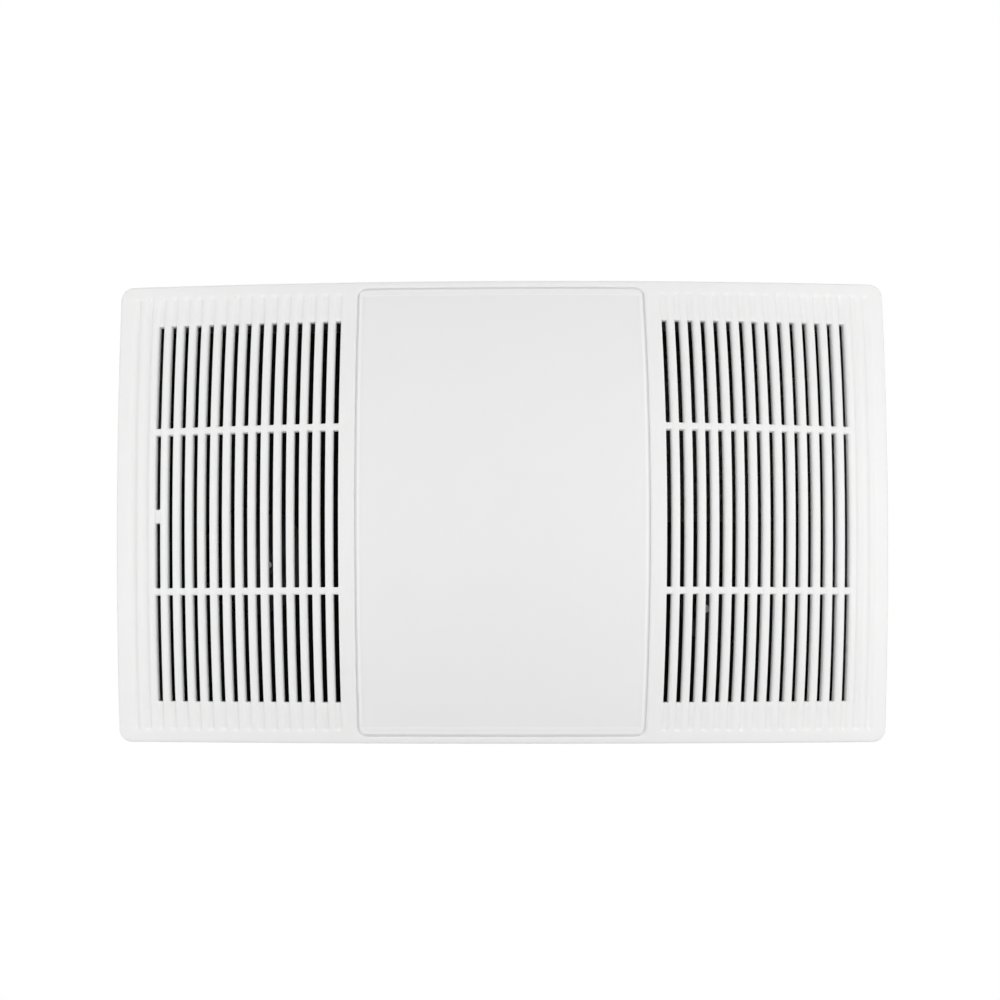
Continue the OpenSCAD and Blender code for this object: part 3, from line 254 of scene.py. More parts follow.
def ramp(value):
    """0 below 0, 1 above 1 and smooth between."""
    value = np.clip(value, 0, 1)
    return value * value * (3 - 2 * value)


def bead_rise(u, v, half):
    """A pressed bead with round ends, along u."""
    away = np.hypot(np.clip(np.abs(u) - half, 0, None), v)
    return 1.2 * ramp((5.4 - away) / 2.8)


def weld_dip(u, v):
    return -0.4 * np.clip(2.2 * (1 - np.hypot(u, v) / 2.4), 0, 1)


def cap_lap(x):
    return 0.6 * np.clip((np.abs(x) - cap_x) / 0.3, 0, 1)


def box_plan(step):
    """The grid over the box, with the lines of its round corners a step apart."""
    xs = np.concatenate([-flat_x - step * np.arange(4, 0, -1), line_x, flat_x + step * np.arange(1, 5)])
    ys = np.concatenate([-flat_y - step * np.arange(4, 0, -1), line_y, flat_y + step * np.arange(1, 5)])
    gx, gy = np.meshgrid(xs, ys, indexing="ij")
    return round_corner(gx, gy, 2 * flat_x + 8 * step, 2 * flat_y + 8 * step, 4 * step)


side_x, side_y = box_plan(1.0)
top_x, top_y = box_plan(0.5)
nx, ny = top_x.shape
border = [(i, 0) for i in range(nx)] + [(nx - 1, j) for j in range(1, ny)]
border += [(i, ny - 1) for i in range(nx - 2, -1, -1)] + [(0, j) for j in range(ny - 2, 0, -1)]
border = tuple(np.array(border).T)
loop_x, loop_y = side_x[border], side_y[border]
out_x = loop_x - np.clip(loop_x, -flat_x, flat_x)
out_y = loop_y - np.clip(loop_y, -flat_y, flat_y)
out_x, out_y = out_x / np.hypot(out_x, out_y), out_y / np.hypot(out_x, out_y)
on_side, on_end = np.abs(out_y) > 0.999, out_x > 0.999

# Rings of points go up the outside and over the bend, then up the inside.
points = []
rings = [(z, 0) for z in line_z] + [(flat_z, angle) for angle in (18, 36, 54, 72, 90)]
for z, angle in rings:
    c, s = math.cos(math.radians(angle)), math.sin(math.radians(angle))
    rise = cap_lap(loop_x) * np.sqrt(out_y**2 * c * c + s * s)
    if angle == 0:
        rise += on_side * bead_rise(np.abs(loop_x) - side_bead_x, z - bead_z, side_bead)
        rise += on_end * bead_rise(loop_y, z - bead_z, end_bead)
        for weld in weld_z:
            rise += on_side * weld_dip(np.abs(loop_x) - weld_x, z - weld)
        rise += 0.12 * np.sin(loop_x / 41 + 1.3) * np.sin(z / 23 + loop_y / 60)
    outward, height = rise * c - 2 * (1 - c), z + 2 * s + rise * s
    points.append(np.stack([loop_x + out_x * outward, loop_y + out_y * outward, height], -1))
for z, inset in ((0, 1), (flat_z, 1), (144.4, 1.3), (145, 2)):
    points.append(np.stack([loop_x - out_x * inset, loop_y - out_y * inset, z + 0 * loop_x], -1))
points = np.concatenate(points)


def band(one, two, count):
    """Quads between two rings of points that start at these numbers."""
    after = [*range(1, count), 0]
    return [(one + k, one + after[k], two + after[k], two + k) for k in range(count)]


count = len(loop_x)
inside = len(rings) * count
faces = []
for n in range(0, inside - count, count):
    faces += band(n, n + count, count)
for n in range(inside, inside + 3 * count, count):
    faces += [(b, a, d, c) for a, b, c, d in band(n, n + count, count)]
faces += band(0, inside, count)
faces.append(tuple(range(n + 2 * count - 1, n + count - 1, -1)))

# The top is a grid that joins the last outer ring.
top_rise = cap_lap(top_x) + bead_rise(top_x, np.abs(top_y) - top_bead_y, top_bead)
for weld in weld_y:
    top_rise += weld_dip(np.abs(top_x) - weld_x, top_y - weld)
top_rise += 0.18 * np.sin(top_x / 47 + 0.6) * np.sin(top_y / 31 + 0.4) * (np.abs(top_x) < 212)
top_id = np.full(top_x.shape, -1)
top_id[border] = inside - count + np.arange(count)
free = top_id < 0
top_id[free] = len(points) + np.arange(free.sum())
points = np.concatenate([points, np.stack([top_x[free], top_y[free], flat_z + 2 + top_rise[free]], -1)])


def grid_quads(ids):
    """The squares between the points of a grid."""
    corners = np.stack([ids[:-1, :-1], ids[1:, :-1], ids[1:, 1:], ids[:-1, 1:]], -1)
    return [tuple(square) for square in corners.reshape(-1, 4).tolist()]


faces += grid_quads(top_id)
box_mesh = bpy.data.meshes.new("housing_sheet")
box_mesh.from_pydata((points * 0.001).tolist(), [], faces)


def rod(work, place, axis, radius, length, segments=48):
    """Adds a plain cylinder to a mesh that is used as a cutter."""
    turn = Vector((0, 0, 1)).rotation_difference(Vector(axis)).to_matrix().to_4x4()
    place, radius = Matrix.Translation(Vector(place) * 0.001), radius * 0.001
    bmesh.ops.create_cone(work, cap_ends=True, segments=segments, radius1=radius, radius2=radius,
                          depth=length * 0.001, matrix=place @ turn)


def mesh_of(name, work):
    """A bmesh as a mesh."""
    mesh = bpy.data.meshes.new(name)
    work.to_mesh(mesh)
    work.free()
    return mesh


def cut(name, mesh, cutter):
    """The mesh less the cutter, as a new mesh."""
    tool = linked(name + "_cutter", mesh_of(name + "_cutter", cutter))
    start = linked(name + "_blank", mesh)
    boolean = start.modifiers.new("cut", "BOOLEAN")
    boolean.operation = "DIFFERENCE"
    boolean.solver = "EXACT"
    boolean.object = tool
    result = plain_mesh(start)
    bpy.data.objects.remove(tool)
    return result


def fit(made, body, slot, *nodes):
    """Puts a piece in place: hides the CAD nodes that it takes the place of and sets it on the body it rides on.
    The slot is not used.
    """
    if nodes:
        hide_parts(*nodes)
    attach(made, body)


box_x, box_y = 230, 131
duct_y, duct_z, duct_r = -32.463, 84, 47.7
collar_holes = [(duct_y + y, duct_z + z) for y in (-48, 48) for z in (-48, 48)]
lead_x, lead_z, lead_r = -20, 97, 12.05
partition_x, plate_l, plate_z, screw_r = 93.5, 135.5, 40, 1.8
plate_screw_x = [s * (partition_x + plate_l * (0.5 + 0.33 * e)) for s in (-1, 1) for e in (-1, 1)]
punches = bmesh.new()
rod(punches, (-box_x, duct_y, duct_z), (1, 0, 0), duct_r, 8, 96)
rod(punches, (lead_x, -box_y, lead_z), (0, 1, 0), lead_r, 8)
for x in plate_screw_x:
    for y in (-box_y, box_y):
        rod(punches, (x, y, plate_z), (0, 1, 0), screw_r, 8, 24)
for y, z in collar_holes:
    rod(punches, (-box_x, y, z), (1, 0, 0), screw_r, 8, 24)
housing = placed("housing_box", cut("housing", box_mesh, punches), finishes["galvanised"], 32)
fit(housing, "fixed_unit", "galvanised", "housing")


# Mounting ears
# Four steel angles, spot-welded to the housing's ends, each with two holes for screws into the joists.
def eased(name, node, slot, width=0.25, smooth=35, segments=2, body="fixed_unit"):
    """A clean copy of a CAD node with its edges eased, as pressed, cut or moulded edges are."""
    work = bmesh.new()
    work.from_mesh(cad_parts[node].data)
    bmesh.ops.remove_doubles(work, verts=work.verts, dist=1e-6)
    bmesh.ops.dissolve_limit(work, angle_limit=math.radians(0.8), verts=work.verts, edges=work.edges)
    made = placed(name, mesh_of(name, work), finishes[slot], smooth)
    bevel = made.modifiers.new("eased_edges", "BEVEL")
    bevel.width = width * 0.001
    bevel.segments = segments
    bevel.limit_method = "ANGLE"
    bevel.angle_limit = math.radians(40)
    bevel.use_clamp_overlap = False
    bevel.harden_normals = True
    fit(made, body, slot, node)


eased("ears", "mounting_ears", "galvanised")

# A spot weld is a shallow ring with a dip in its middle, pressed by the electrode.
ring_profile = [(0, 0.02), (1.4, 0.03), (1.9, 0.16), (2.3, 0.2), (2.8, 0.02), (2.9, -0.05)]


def lathe(profile, segments):
    """A bmesh turned about Z from (radius, height) in millimetres, with its outside on the profile's right."""
    work = bmesh.new()
    rings = [[work.verts.new((radius * 0.001 * math.cos(math.tau * n / segments),
                              radius * 0.001 * math.sin(math.tau * n / segments), height * 0.001))
              for n in range(segments if radius > 1e-6 else 1)] for radius, height in profile]
    for one, two in zip(rings[:-1], rings[1:]):
        for n in range(segments):
            m = (n + 1) % segments
            corners = [one[n % len(one)], two[n % len(two)], two[m % len(two)], one[m % len(one)]]
            corners = [c for k, c in enumerate(corners) if c not in corners[:k]]
            if len(corners) > 2:
                work.faces.new(corners)
    bmesh.ops.recalc_face_normals(work, faces=work.faces)
    return work


# The scatter form sets a copy of a shape on each point of a plan, aimed as the point says and spun at random.
scatter, given = new_form("scatter", {"Shape": None, "Spin": 1.0, "Seed": 3})
copies = given["Geometry"].node("GeometryNodeObjectInfo", {"Object": given["Shape"]}).out("Geometry")
aim = copies.node("GeometryNodeInputNamedAttribute", {"Name": "aim"}, data_type="FLOAT_VECTOR")
copies = copies.node("GeometryNodeInstanceOnPoints",
                     {"Points": given["Geometry"], "Instance": copies, "Rotation": aim})
spin = copies.node("FunctionNodeRandomValue", {"Min": 0.0, "Max": given["Spin"], "Seed": given["Seed"]}, 1,
                   data_type="FLOAT")
copies = spin.node("GeometryNodeRotateInstances", {"Instances": copies, "Rotation": spin.vector(Z=spin)})
end_form(copies, given["Material"])


def scattered(name, template, spots, slot, *nodes, spin=0.0, smooth=35, body="fixed_unit"):
    """Copies of a template, a bmesh, at (place, direction) in millimetres."""
    source = linked(name + "_shape", mesh_of(name + "_shape", template))
    plan = bpy.data.meshes.new(name + "_plan")
    plan.from_pydata([Vector(place) * 0.001 for place, _ in spots], [], [])
    aims = [Vector((0, 0, 1)).rotation_difference(Vector(way)).to_euler() for _, way in spots]
    aimed = plan.attributes.new("aim", "FLOAT_VECTOR", "POINT")
    aimed.data.foreach_set("vector", [v for aim in aims for v in aim])
    made = shape(name, scatter, finishes[slot], {"Shape": source, "Spin": spin}, plan, smooth)
    bpy.data.objects.remove(source)
    fit(made, body, slot, *nodes)


ear_welds = [((s * 231, t * 121, z), (s, 0, 0)) for s in (-1, 1) for t in (-1, 1) for z in (28, 64, 100)]
scattered("ear_spot_welds", lathe(ring_profile, 20), ear_welds, "galvanised")


# Screws
# Zinc-plated pan-head screws with a cross recess and a rolled thread. They hold the collar, the wiring cover,
# the front plates, the motors, the light's pan and driver, and the spring hooks.
def plated(name, low, high, rough):
    """A thin bright plating with a few brighter rubs and fine marks along the tool's path."""
    place = new_finish(name)
    cloud = place.noise(140.0, 4.0)
    rub = place.noise(700.0, 3.0, 0.7).between(0.45, 0.65)
    end_finish(place, (0.7 * cloud + 0.4 * rub).tint(low, high), rough + 0.2 * cloud - 0.08 * rub,
               (cloud + 0.5 * rub).relief(0.00001, 0.4), Metallic=1.0)


plated("zinc_screws", (0.5, 0.5, 0.47), (0.76, 0.76, 0.72), 0.24)
head_profile = [(0, 1.93), (1, 1.91), (1.9, 1.8), (2.7, 1.52), (3.2, 1.1), (3.46, 0.55), (3.5, 0.2), (3.42, 0),
                (0, 0)]
recess = bmesh.new()
for long_x, long_y in ((4.0, 0.75), (0.75, 4.0)):
    for vert in bmesh.ops.create_cube(recess, size=1.0)["verts"]:
        taper = 1.0 if vert.co.z > 0 else 0.55
        wide, deep = (v if v < 1 else v * taper for v in (long_x, long_y))
        vert.co = Vector((vert.co.x * wide, vert.co.y * deep, 1.9 + 1.9 * vert.co.z)) * 0.001
head_mesh = cut("screw", mesh_of("screw_head", lathe(head_profile, 32)), recess)


def screw(length):
    """A screw with its head's underside at zero and its thread cut as one helix."""
    work = bmesh.new()
    work.from_mesh(head_mesh)
    sides, pitch, core, ridge = 16, 1.2, 1.4, 0.35
    rows = int(length / pitch * 5)
    rings = []
    for row in range(rows + 1):
        down = length * row / rows
        ring = []
        for n in range(sides):
            phase = (down / pitch + n / sides) % 1.0
            radius = core + ridge * max(0.0, 1 - abs(phase - 0.5) * 3.4)
            radius *= min(1.0, 0.35 + (length - down) / 1.6)
            angle = math.tau * n / sides
            ring.append(work.verts.new((radius * math.cos(angle) * 0.001, radius * math.sin(angle) * 0.001,
                                        -down * 0.001)))
        rings.append(ring)
    for one, two in zip(rings[:-1], rings[1:]):
        for n in range(sides):
            m = (n + 1) % sides
            work.faces.new((one[m], one[n], two[n], two[m]))
    work.faces.new(list(reversed(rings[-1])))
    work.faces.new(rings[0])
    return work


def screws(name, node, length, spots, body="fixed_unit"):
    scattered(name, screw(length), spots, "zinc_screws", node, spin=1.5, smooth=40, body=body)


def lugs(axis, radius, height):
    """Three places round a motor, facing up."""
    return [((axis[0] + radius * math.cos(a), axis[1] + radius * math.sin(a), height), (0, 0, 1))
            for a in (0, math.tau / 3, 2 * math.tau / 3)]


spring_y = 123
fan_axis, heat_axis = (-169.9502, 28.0), (151.2295, 61.25)
screws("collar_fixings", "collar_screws", 6, [((-232, y, z), (-1, 0, 0)) for y, z in collar_holes])
screws("cover_fixings", "wiring_cover_screws", 6, [((x, -166, lead_z), (0, -1, 0)) for x in (-68, 28)])
screws("plate_fixings", "plate_screws", 4,
       [((x, s * 129, plate_z), (0, -s, 0)) for x in plate_screw_x for s in (-1, 1)])
screws("pan_fixings", "pan_screws", 4,
       [((s * 88, t * 220 / 3, 2), (0, 0, -1)) for s in (-1, 1) for t in (-1, 1)])
screws("driver_fixings", "driver_screws", 3, [((s * 44, 0, 38), (0, 0, 1)) for s in (-1, 1)])
screws("hook_fixings", "hook_screws", 5,
       [((s * 26 / 3, t * spring_y, -13.669), (0, 0, 1)) for s in (-1, 1) for t in (-1, 1)], "grille_assembly")
screws("fan_motor_fixings", "exhaust_motor_screws", 6, lugs(fan_axis, 43, 117))
screws("heater_motor_fixings", "heater_motor_screws", 6, lugs(heat_axis, 35, 103))


# Duct adapter and damper
# A moulded black adapter that the duct slips over, with a thin aluminium flap that hangs on a steel pin across
# it and swings out with the air.
def moulded(name, low, high, rough, grain_size=1500.0):
    """Moulded plastic with a fine grain, faint flow and handling marks."""
    place = new_finish(name)
    flow = place.noise(22.0, 4.0)
    grain = place.noise(grain_size, 2.0, 0.6)
    marks = place.noise(60.0, 5.0, 0.7).between(0.5, 0.72)
    end_finish(place, (0.6 * flow + 0.4 * marks).tint(low, high), rough + 0.1 * marks + 0.06 * grain,
               (grain + 0.3 * flow).relief(0.00004, 0.6))


moulded("black_plastic", (0.018, 0.018, 0.019), (0.04, 0.04, 0.042), 0.38)
eased("duct_adapter", "duct_collar", "black_plastic", 0.5, 30, 3)


def brushed(name, low, high, rough, along=(1.0, 40.0, 1.0)):
    """Rolled or drawn metal: long fine lines along the work, with a soft cloud over them."""
    place = new_finish(name)
    drawn = place.node("ShaderNodeMapping", {"Vector": place, "Scale": along})
    lines = drawn.noise(60.0, 4.0, 0.6)
    cloud = place.noise(25.0, 3.0)
    end_finish(place, (0.6 * lines + 0.4 * cloud).tint(low, high), rough + 0.15 * lines + 0.08 * cloud,
               lines.relief(0.00001, 0.35), Metallic=1.0)


brushed("steel_pin", (0.42, 0.42, 0.43), (0.62, 0.62, 0.62), 0.22, (40.0, 1.0, 40.0))
brushed("flap_aluminium", (0.66, 0.67, 0.68), (0.82, 0.83, 0.84), 0.28, (1.0, 1.5, 40.0))
eased("hinge_pin", "damper_pin", "steel_pin", 0.2)
eased("backdraft_flap", "damper_flap", "flap_aluminium", 0.35, body="damper")


# Wiring box
# A folded steel box on the front with a screwed cover, an open knock-out at one end and a blank still in the
# other, a snap bushing for the leads and a block of receptacles inside the housing.
eased("junction_box", "wiring_box", "galvanised", 0.3, 35, 3)
eased("junction_cover", "wiring_cover", "galvanised", 0.35, 35, 3)
eased("knockout_blank", "knockout_slug", "galvanised", 0.25)
eased("snap_bushing", "lead_bushing", "black_plastic", 0.5, 30, 3)
moulded("ivory_plastic", (0.62, 0.58, 0.47), (0.7, 0.66, 0.55), 0.42)
eased("plug_receptacles", "receptacle_block", "ivory_plastic", 0.5, 35, 3)
box_welds = [((x, -132, z), (0, -1, 0)) for x in (-66, -20, 26) for z in (136, 58)]
scattered("box_spot_welds", lathe(ring_profile, 20), box_welds, "galvanised")


# Partitions and front plates
# Bent steel walls beside the light, and black-painted plates behind the louvres with spun rings that lead the
# air up to the wheels. The plates and the fan's ring are painted darker and duller than real black paint, as
# painted shade behind the louvres.
def painted(name, low, high, rough, specular=0.4):
    """Stoved paint on steel: a faint orange-peel skin and patches of dust."""
    place = new_finish(name)
    peel = place.noise(420.0, 2.0, 0.4)
    dust = place.noise(16.0, 5.0, 0.7).between(0.45, 0.75)
    end_finish(place, (0.3 * peel + 0.7 * dust).tint(low, high), rough + 0.15 * dust + 0.05 * peel,
               peel.relief(0.00005, 0.4), Specular_IOR_Level=specular)


# Black paint, darkened and dulled well past real paint: painted shade for the plates behind the louvres.
painted("black_paint", (0.004, 0.004, 0.004), (0.007, 0.007, 0.007), 0.75, 0.12)
eased("fan_partition", "exhaust_partition", "galvanised")
eased("heat_partition", "heater_partition", "galvanised")
eased("fan_plate", "exhaust_front_plate", "black_paint")
eased("heat_plate", "heater_front_plate", "black_paint")
eased("fan_inlet", "exhaust_inlet_ring", "black_paint", 0.4)
# Zinc sheet darkened far below real zinc: painted shade for the heater's metal behind the louvres.
sheet_zinc("heater_steel", (0.06, 0.06, 0.063), (0.12, 0.12, 0.124), 0.45)
eased("heat_inlet", "heater_inlet_ring", "heater_steel", 0.4)


# Exhaust fan
# A plastic scroll with a wheel of forward-curved blades on the shaft of a motor above it.
blades, given = new_form("blower_blades", {
    "Count": 36, "Radius": 0.048, "Blade Length": 0.01, "Thickness": 0.0008, "Height": 0.0565, "Angle": 0.611,
    "Bow": 0.0011, "Axis X": 0.0, "Axis Y": 0.0, "Base": 0.044})
size = given["Height"].vector(X=given["Blade Length"], Y=given["Thickness"], Z=given["Height"])
strip = size.node("GeometryNodeMeshCube", {"Size": size, "Vertices X": 9, "Vertices Y": 2, "Vertices Z": 2})
spot = strip.node("ShaderNodeSeparateXYZ", {"Vector": strip.node("GeometryNodeInputPosition")})
share = spot.out("X") * 2.0 / given["Blade Length"]
bow = spot.vector(Y=given["Bow"] * (0.5 - share * share))
strip = strip.node("GeometryNodeSetPosition", {"Geometry": strip, "Offset": bow})
reach = given["Radius"] - 0.5 * given["Blade Length"] * given["Angle"].maths("COSINE", given["Angle"])
reach = reach - given["Thickness"]
reach = reach.vector(X=reach, Z=0.5 * given["Height"])
turn = reach.vector(Z=given["Angle"])
strip = strip.node("GeometryNodeTransform", {"Geometry": strip, "Translation": reach, "Rotation": turn})
hub = given["Count"].node("GeometryNodePoints", {"Count": given["Count"]})
turn = hub.node("GeometryNodeInputIndex") * math.tau / given["Count"]
turn = turn.vector(Z=turn)
ring = hub.node("GeometryNodeInstanceOnPoints", {"Points": hub, "Instance": strip, "Rotation": turn})
ring = ring.node("GeometryNodeRealizeInstances", {"Geometry": ring})
spot = ring.vector(X=given["Axis X"], Y=given["Axis Y"], Z=given["Base"])
end_form(ring.node("GeometryNodeTransform", {"Geometry": ring, "Translation": spot}), given["Material"])


def wheel_blades(name, node, body, slot, axis, **sizes):
    sizes = {**sizes, "Axis X": axis[0] * 0.001, "Axis Y": axis[1] * 0.001}
    fit(shape(name, blades, finishes[slot], sizes), body, slot, node)


eased("fan_scroll", "exhaust_scroll", "black_plastic", 0.3, 30)
eased("fan_wheel", "exhaust_wheel", "black_plastic", 0.3, 30, body="exhaust_rotor")
wheel_blades("fan_blades", "exhaust_wheel_blades", "exhaust_rotor", "black_plastic", fan_axis)
eased("fan_shaft", "exhaust_shaft", "steel_pin", 0.3, body="exhaust_rotor")
painted("motor_steel", (0.03, 0.03, 0.032), (0.06, 0.06, 0.062), 0.4)
eased("fan_motor", "exhaust_motor", "motor_steel", 0.8, 30, 3)


# Fan heater
# A steel scroll and wheel blow into a folded duct, down through a mica frame strung with coils, and out past a
# wire guard. A button thermostat on the duct cuts the element off. The steel and the mica are coloured far
# darker than their own colours, as painted shade behind the louvres.
eased("heat_scroll", "heater_scroll", "heater_steel", 0.3, 30)
eased("heat_wheel", "heater_wheel", "heater_steel", 0.3, 30, body="heater_rotor")
wheel_blades("heat_blades", "heater_wheel_blades", "heater_rotor", "heater_steel", heat_axis, Count=28,
             Radius=0.036, Height=0.0405)
eased("heat_shaft", "heater_shaft", "steel_pin", 0.3, body="heater_rotor")
eased("heat_motor", "heater_motor", "motor_steel", 0.8, 30, 3)
eased("heat_duct", "heater_duct", "heater_steel")
# Mica's tan, darkened well below its own colour as painted shade inside the heater.
moulded("mica", (0.055, 0.045, 0.032), (0.11, 0.09, 0.065), 0.55, 700.0)
eased("mica_frame", "element_frame", "mica", 0.3)
coil, given = new_form("stretched_coil", {"Turns": 40, "Coil Radius": 0.0036, "Wire Radius": 0.0004,
                                          "Length": 0.125})
wound = given["Turns"].node("GeometryNodeCurveSpiral", {
    "Resolution": 12, "Rotations": given["Turns"], "Start Radius": given["Coil Radius"],
    "End Radius": given["Coil Radius"], "Height": given["Length"], "Reverse": False})
circle = wound.node("GeometryNodeCurvePrimitiveCircle", {"Resolution": 5, "Radius": given["Wire Radius"]})
wound = wound.node("GeometryNodeCurveToMesh", {"Curve": wound, "Profile Curve": circle, "Fill Caps": True})
wound = wound.node("GeometryNodeTransform", {"Geometry": wound, "Rotation": (0.0, math.pi / 2, 0.0)})
wound = wound.node("GeometryNodeInstanceOnPoints", {"Points": given["Geometry"], "Instance": wound})
end_form(wound, given["Material"])
brushed("nichrome", (0.1, 0.09, 0.085), (0.2, 0.18, 0.17), 0.4, (1.0, 30.0, 30.0))
low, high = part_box("heating_coils")
coil_rows = [low[1] + 0.004 + (high[1] - low[1] - 0.008) * n / 7 for n in range(8)]
plan = bpy.data.meshes.new("coil_plan")
plan.from_pydata([(low[0], y, z) for y in coil_rows for z in (low[2] + 0.004, high[2] - 0.004)], [], [])
coils = shape("element_coils", coil, finishes["nichrome"], {"Length": high[0] - low[0]}, plan)
fit(coils, "fixed_unit", "nichrome", "heating_coils")
plated("cutout_steel", (0.45, 0.45, 0.45), (0.65, 0.65, 0.64), 0.3)
eased("button_thermostat", "thermal_cutout", "cutout_steel", 0.3)
painted("guard_wire", (0.012, 0.012, 0.012), (0.025, 0.025, 0.025), 0.5)
eased("wire_guard", "outlet_guard", "guard_wire", 0.2, 50)


# Light
# A white steel pan with a board of light chips, and the driver in its case on top.
painted("white_paint", (0.78, 0.78, 0.77), (0.84, 0.84, 0.83), 0.4)
eased("reflector_pan", "light_pan", "white_paint", 0.3)
painted("white_board", (0.7, 0.71, 0.7), (0.8, 0.8, 0.79), 0.35)
eased("chip_board", "light_board", "white_board", 0.2)
moulded("chip_yellow", (0.75, 0.6, 0.12), (0.85, 0.7, 0.2), 0.3, 3000.0)
chip = lathe([(0, 0.35), (0.8, 0.33), (1.15, 0.22), (1.2, 0.05), (1.25, 0.05), (1.5, 0.05), (1.5, -0.35),
              (0, -0.35)], 12)
low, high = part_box("light_chips")
chip_x, chip_y = ([(low[k] + 0.0015 + (high[k] - low[k] - 0.003) * n / last) * 1000 for n in range(last + 1)]
                  for k, last in ((0, 5), (1, 7)))
chip_spots = [((x, y, 33.05), (0, 0, -1)) for x in chip_x for y in chip_y]
scattered("chips", chip, chip_spots, "chip_yellow", "light_chips")
moulded("driver_plastic", (0.6, 0.6, 0.58), (0.68, 0.68, 0.66), 0.45)
eased("driver_case", "light_driver", "driver_plastic", 0.8, 35, 3)


# Springs
# Two torsion springs of round wire. Their coils sit on hooks on the grille, and their arms run up through
# slotted brackets in the housing and pull the grille up.
for end in ("front", "back"):
    eased("slotted_bracket_" + end, "spring_bracket_" + end, "galvanised")
for end in ("front", "back"):
    eased("hook_" + end, "spring_hook_" + end, "steel_pin", body="grille_assembly")
brushed("spring_steel", (0.3, 0.3, 0.31), (0.5, 0.5, 0.5), 0.25, (30.0, 30.0, 1.0))


def wire(name, path, node, body):
    """Round wire 1.6 mm thick along a path in millimetres, with eased ends."""
    path = [Vector(p) for p in path]
    ways = [(path[min(n + 1, len(path) - 1)] - path[max(n - 1, 0)]).normalized() for n in range(len(path))]
    side = ways[0].orthogonal().normalized()
    work, rings, sides = bmesh.new(), [], 14
    for n, (place, way) in enumerate(zip(path, ways)):
        radius = 0.8 if 0 < n < len(path) - 1 else 0.6
        side = (side - way * side.dot(way)).normalized()
        other = way.cross(side)
        rings.append([work.verts.new((place + radius * (math.cos(a) * side + math.sin(a) * other)) * 0.001)
                      for a in np.linspace(0, math.tau, sides, endpoint=False)])
    for one, two in zip(rings[:-1], rings[1:]):
        for n in range(sides):
            m = (n + 1) % sides
            work.faces.new((one[n], one[m], two[m], two[n]))
    work.faces.new(list(reversed(rings[0])))
    work.faces.new(rings[-1])
    bmesh.ops.recalc_face_normals(work, faces=work.faces)
    fit(placed(name, mesh_of(name, work), finishes["spring_steel"], 50), body, "spring_steel", node)


coil_r, coil_len, coil_z = 5, 6.9533, -6.869
leg, bend_r, hooked, open_angle = 102.2, 2.2, math.radians(70), math.radians(34)
for side, label in ((-1, "front"), (1, "back")):
    turn = [math.radians(214 + 1192 * n / 100) for n in range(101)]
    path = [(coil_r * math.cos(a), side * spring_y + coil_len * (n / 100 - 0.5), coil_z + coil_r * math.sin(a))
            for n, a in enumerate(turn)]
    wire("spring_" + label, path, "spring_coil_" + label, "grille_assembly")
    for end, hand in ((-1, "left"), (1, "right")):
        flat_path = [(coil_r, along) for along in (0.3, 0.6, 35, 70, 101.4, leg)]
        flat_path += [(coil_r + bend_r * (1 - math.cos(a)), leg + bend_r * math.sin(a))
                      for a in map(math.radians, (15, 30, 45, 60, 70))]
        last = flat_path[-1]
        flat_path += [(last[0] + s * math.sin(hooked), last[1] + s * math.cos(hooked)) for s in (2.5, 5.3, 5.6)]
        c, s, y = math.cos(open_angle), math.sin(open_angle), side * spring_y + end * coil_len / 2
        path = [(end * (u * c + v * s), y, coil_z - u * s + v * c) for u, v in flat_path]
        wire(f"spring_leg_{label}_{hand}", path, f"spring_arm_{label}_{hand}", f"arm_{label}_{hand}")


# Grille
# One crowned moulding in satin white plastic. Slots leave ribs with softly rounded tops, shallow grooves run on
# past the slots' ends, and a recess with a ledge takes the light panel.
def satin_plastic(name, low, high, rough, painted_edge_from=None):
    """White moulded plastic: a fine grain, faint flow marks and a slightly uneven sheen. A border that starts at
    a half length and half width is painted a little brighter, a painted highlight where its bevel catches the
    light, and the flange past it is painted darker, the painted shade in the joint."""
    place = new_finish(name)
    flow = place.noise(7.0, 3.0)
    grain = place.noise(1900.0, 2.0, 0.6)
    handled = place.noise(38.0, 4.0).between(0.42, 0.7)
    colour = flow.tint(low, high)
    if painted_edge_from:
        spot = place.node("ShaderNodeSeparateXYZ", {"Vector": place})
        past_x = spot.maths("ABSOLUTE", spot.out("X")) - painted_edge_from[0]
        past_y = spot.maths("ABSOLUTE", spot.out("Y")) - painted_edge_from[1]
        border = past_x.maths("MAXIMUM", past_x, past_y + 0.003)
        past = past_x.maths("MAXIMUM", past_x, past_y)
        # Painted light: the border band is a painted highlight, and the flange band past it is painted shade in
        # the joint.
        for painted_light_mask, tone in ((border.between(-0.0003, 0.0002), (0.925, 0.925, 0.923, 1.0)),
                           (past.between(0.0015, 0.0019), (0.79, 0.79, 0.788, 1.0))):
            colour = place.node("ShaderNodeMix", {0: painted_light_mask, 6: colour, 7: tone}, 2, data_type="RGBA")
    end_finish(place, colour, rough + 0.07 * handled + 0.05 * grain,
               (grain + 0.4 * place.noise(240.0, 2.0)).relief(0.00002, 0.5), Specular_IOR_Level=0.42,
               Subsurface_Weight=0.6, Subsurface_Radius=(1.0, 1.0, 1.0), Subsurface_Scale=0.0022)


satin_plastic("grille_white", (0.872, 0.872, 0.868), (0.893, 0.893, 0.89), 0.44)


